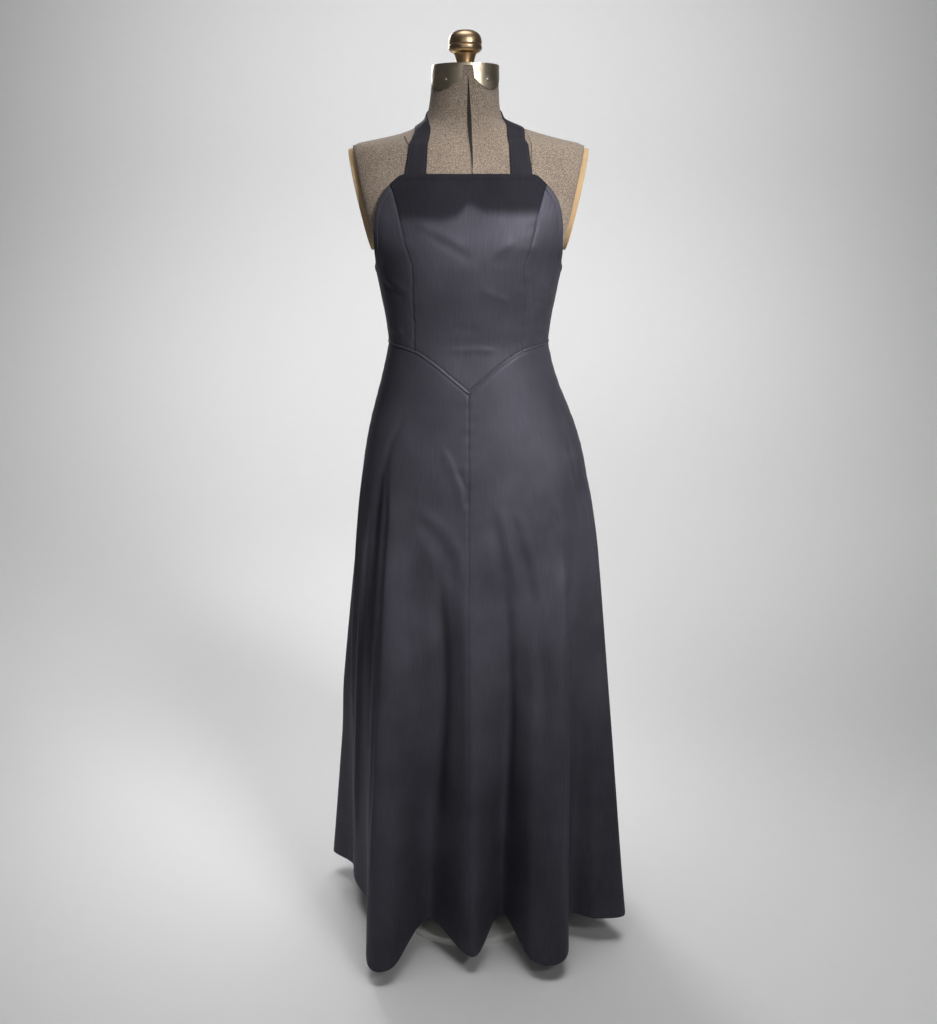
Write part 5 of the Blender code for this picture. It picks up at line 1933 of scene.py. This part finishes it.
@dataclass
class Studio:
    """The pale floor with its curved-up back, the lights and the camera."""

    camera_place: tuple[float, float, float] = (0.0, -1.8, 1.26)
    camera_drop: float = math.atan(322 / 1125)
    camera_lens: float = 1125 / 1024 * 36
    floor_front: float = -5.0
    floor_back: float = 2.6
    curve_radius: float = 1.4
    wall_top: float = 5.0
    half_width: float = 6.0
    world: float = 0.06

    def make_camera(self) -> None:
        """The camera at the photograph's angle."""
        data = bpy.data.cameras.new("front_camera")
        data.sensor_fit = "VERTICAL"
        data.sensor_height = 36.0
        data.lens = self.camera_lens
        camera = bpy.data.objects.new("front_camera", data)
        camera.location = self.camera_place
        camera.rotation_euler = (math.pi / 2 - self.camera_drop, 0, 0)
        bpy.context.scene.collection.objects.link(camera)
        bpy.context.scene.camera = camera

    def floor_profile(self, t: float) -> tuple[float, float]:
        """The floor's line from front to back and up, for t from 0 to 1."""
        flat = self.floor_back - self.floor_front
        curve = self.curve_radius * math.pi / 2
        rise = self.wall_top - self.curve_radius
        run = t * (flat + curve + rise)
        if run < flat:
            return self.floor_front + run, 0.0
        if run < flat + curve:
            turn = (run - flat) / self.curve_radius
            return (
                self.floor_back + self.curve_radius * math.sin(turn),
                self.curve_radius * (1 - math.cos(turn)),
            )
        return self.floor_back + self.curve_radius, self.curve_radius + run - flat - curve

    def make_floor(self) -> None:
        """The pale floor, curved up into a backdrop."""
        bm = bmesh.new()
        bmesh.ops.create_grid(bm, x_segments=2, y_segments=96, size=0.5)
        for vert in bm.verts:
            y, z = self.floor_profile(vert.co.y + 0.5)
            vert.co = Vector((vert.co.x * 2 * self.half_width, y, z))
        material = CoatFinish("pale_floor", (0.86, 0.86, 0.86), 0.7, 0.01, 20.0).build(SharedEffects())
        finish_mesh(bm, "studio_floor", material)

    def make_lights(self) -> None:
        """The overhead key, the soft fills and the light on the backdrop."""
        lights = [
            SoftLight("key_light", (0.80, -1.30, 1.75), (0.0, -0.05, 0.93), (0.6, 0.6), 3.6, 46.0),
            SoftLight("front_fill", (-0.3, -2.4, 1.7), (0.0, 0.0, 1.0), (1.2, 1.0), 1.6, 120.0),
            SoftLight("back_fill", (-0.9, 2.3, 1.9), (0.0, 0.0, 0.95), (0.9, 0.9), 4.5, 60.0),
            SoftLight("backdrop_light", (0.0, 1.3, 3.6), (0.0, 3.6, 0.8), (3.6, 0.8), 44.0, 100.0),
            SoftLight("floor_light", (0.0, 0.5, 3.6), (0.0, 0.5, 0.0), (2.4, 2.4), 13.0, 60.0),
        ]
        for light in lights:
            light.build()
        world = bpy.data.worlds.new("soft_room")
        world.use_nodes = True
        background = world.node_tree.nodes["Background"]
        background.inputs["Color"].default_value = (1.0, 1.0, 1.0, 1.0)
        background.inputs["Strength"].default_value = self.world
        bpy.context.scene.world = world

    def build(self) -> None:
        """Sets the whole studio."""
        self.make_camera()
        self.make_floor()
        self.make_lights()
        bpy.context.scene.view_settings.view_transform = "Standard"


def main() -> None:
    """Builds the dress, the form and the studio."""
    logging.basicConfig(level=logging.INFO, format="%(name)s: %(message)s")
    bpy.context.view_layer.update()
    palette = Palette.build()
    pattern = Pattern()
    making = Dressmaking(pattern, palette)
    for piece in (
        Studio(), FormBody(pattern, palette), NeckTop(pattern, palette), Stand(palette),
        Bodice(making), Skirt(making), HalterStrap(pattern, palette), ZipFastener(pattern, palette),
    ):
        piece.build()
        LOG.info("built %s", type(piece).__name__)


if __name__ == "__main__":
    main()
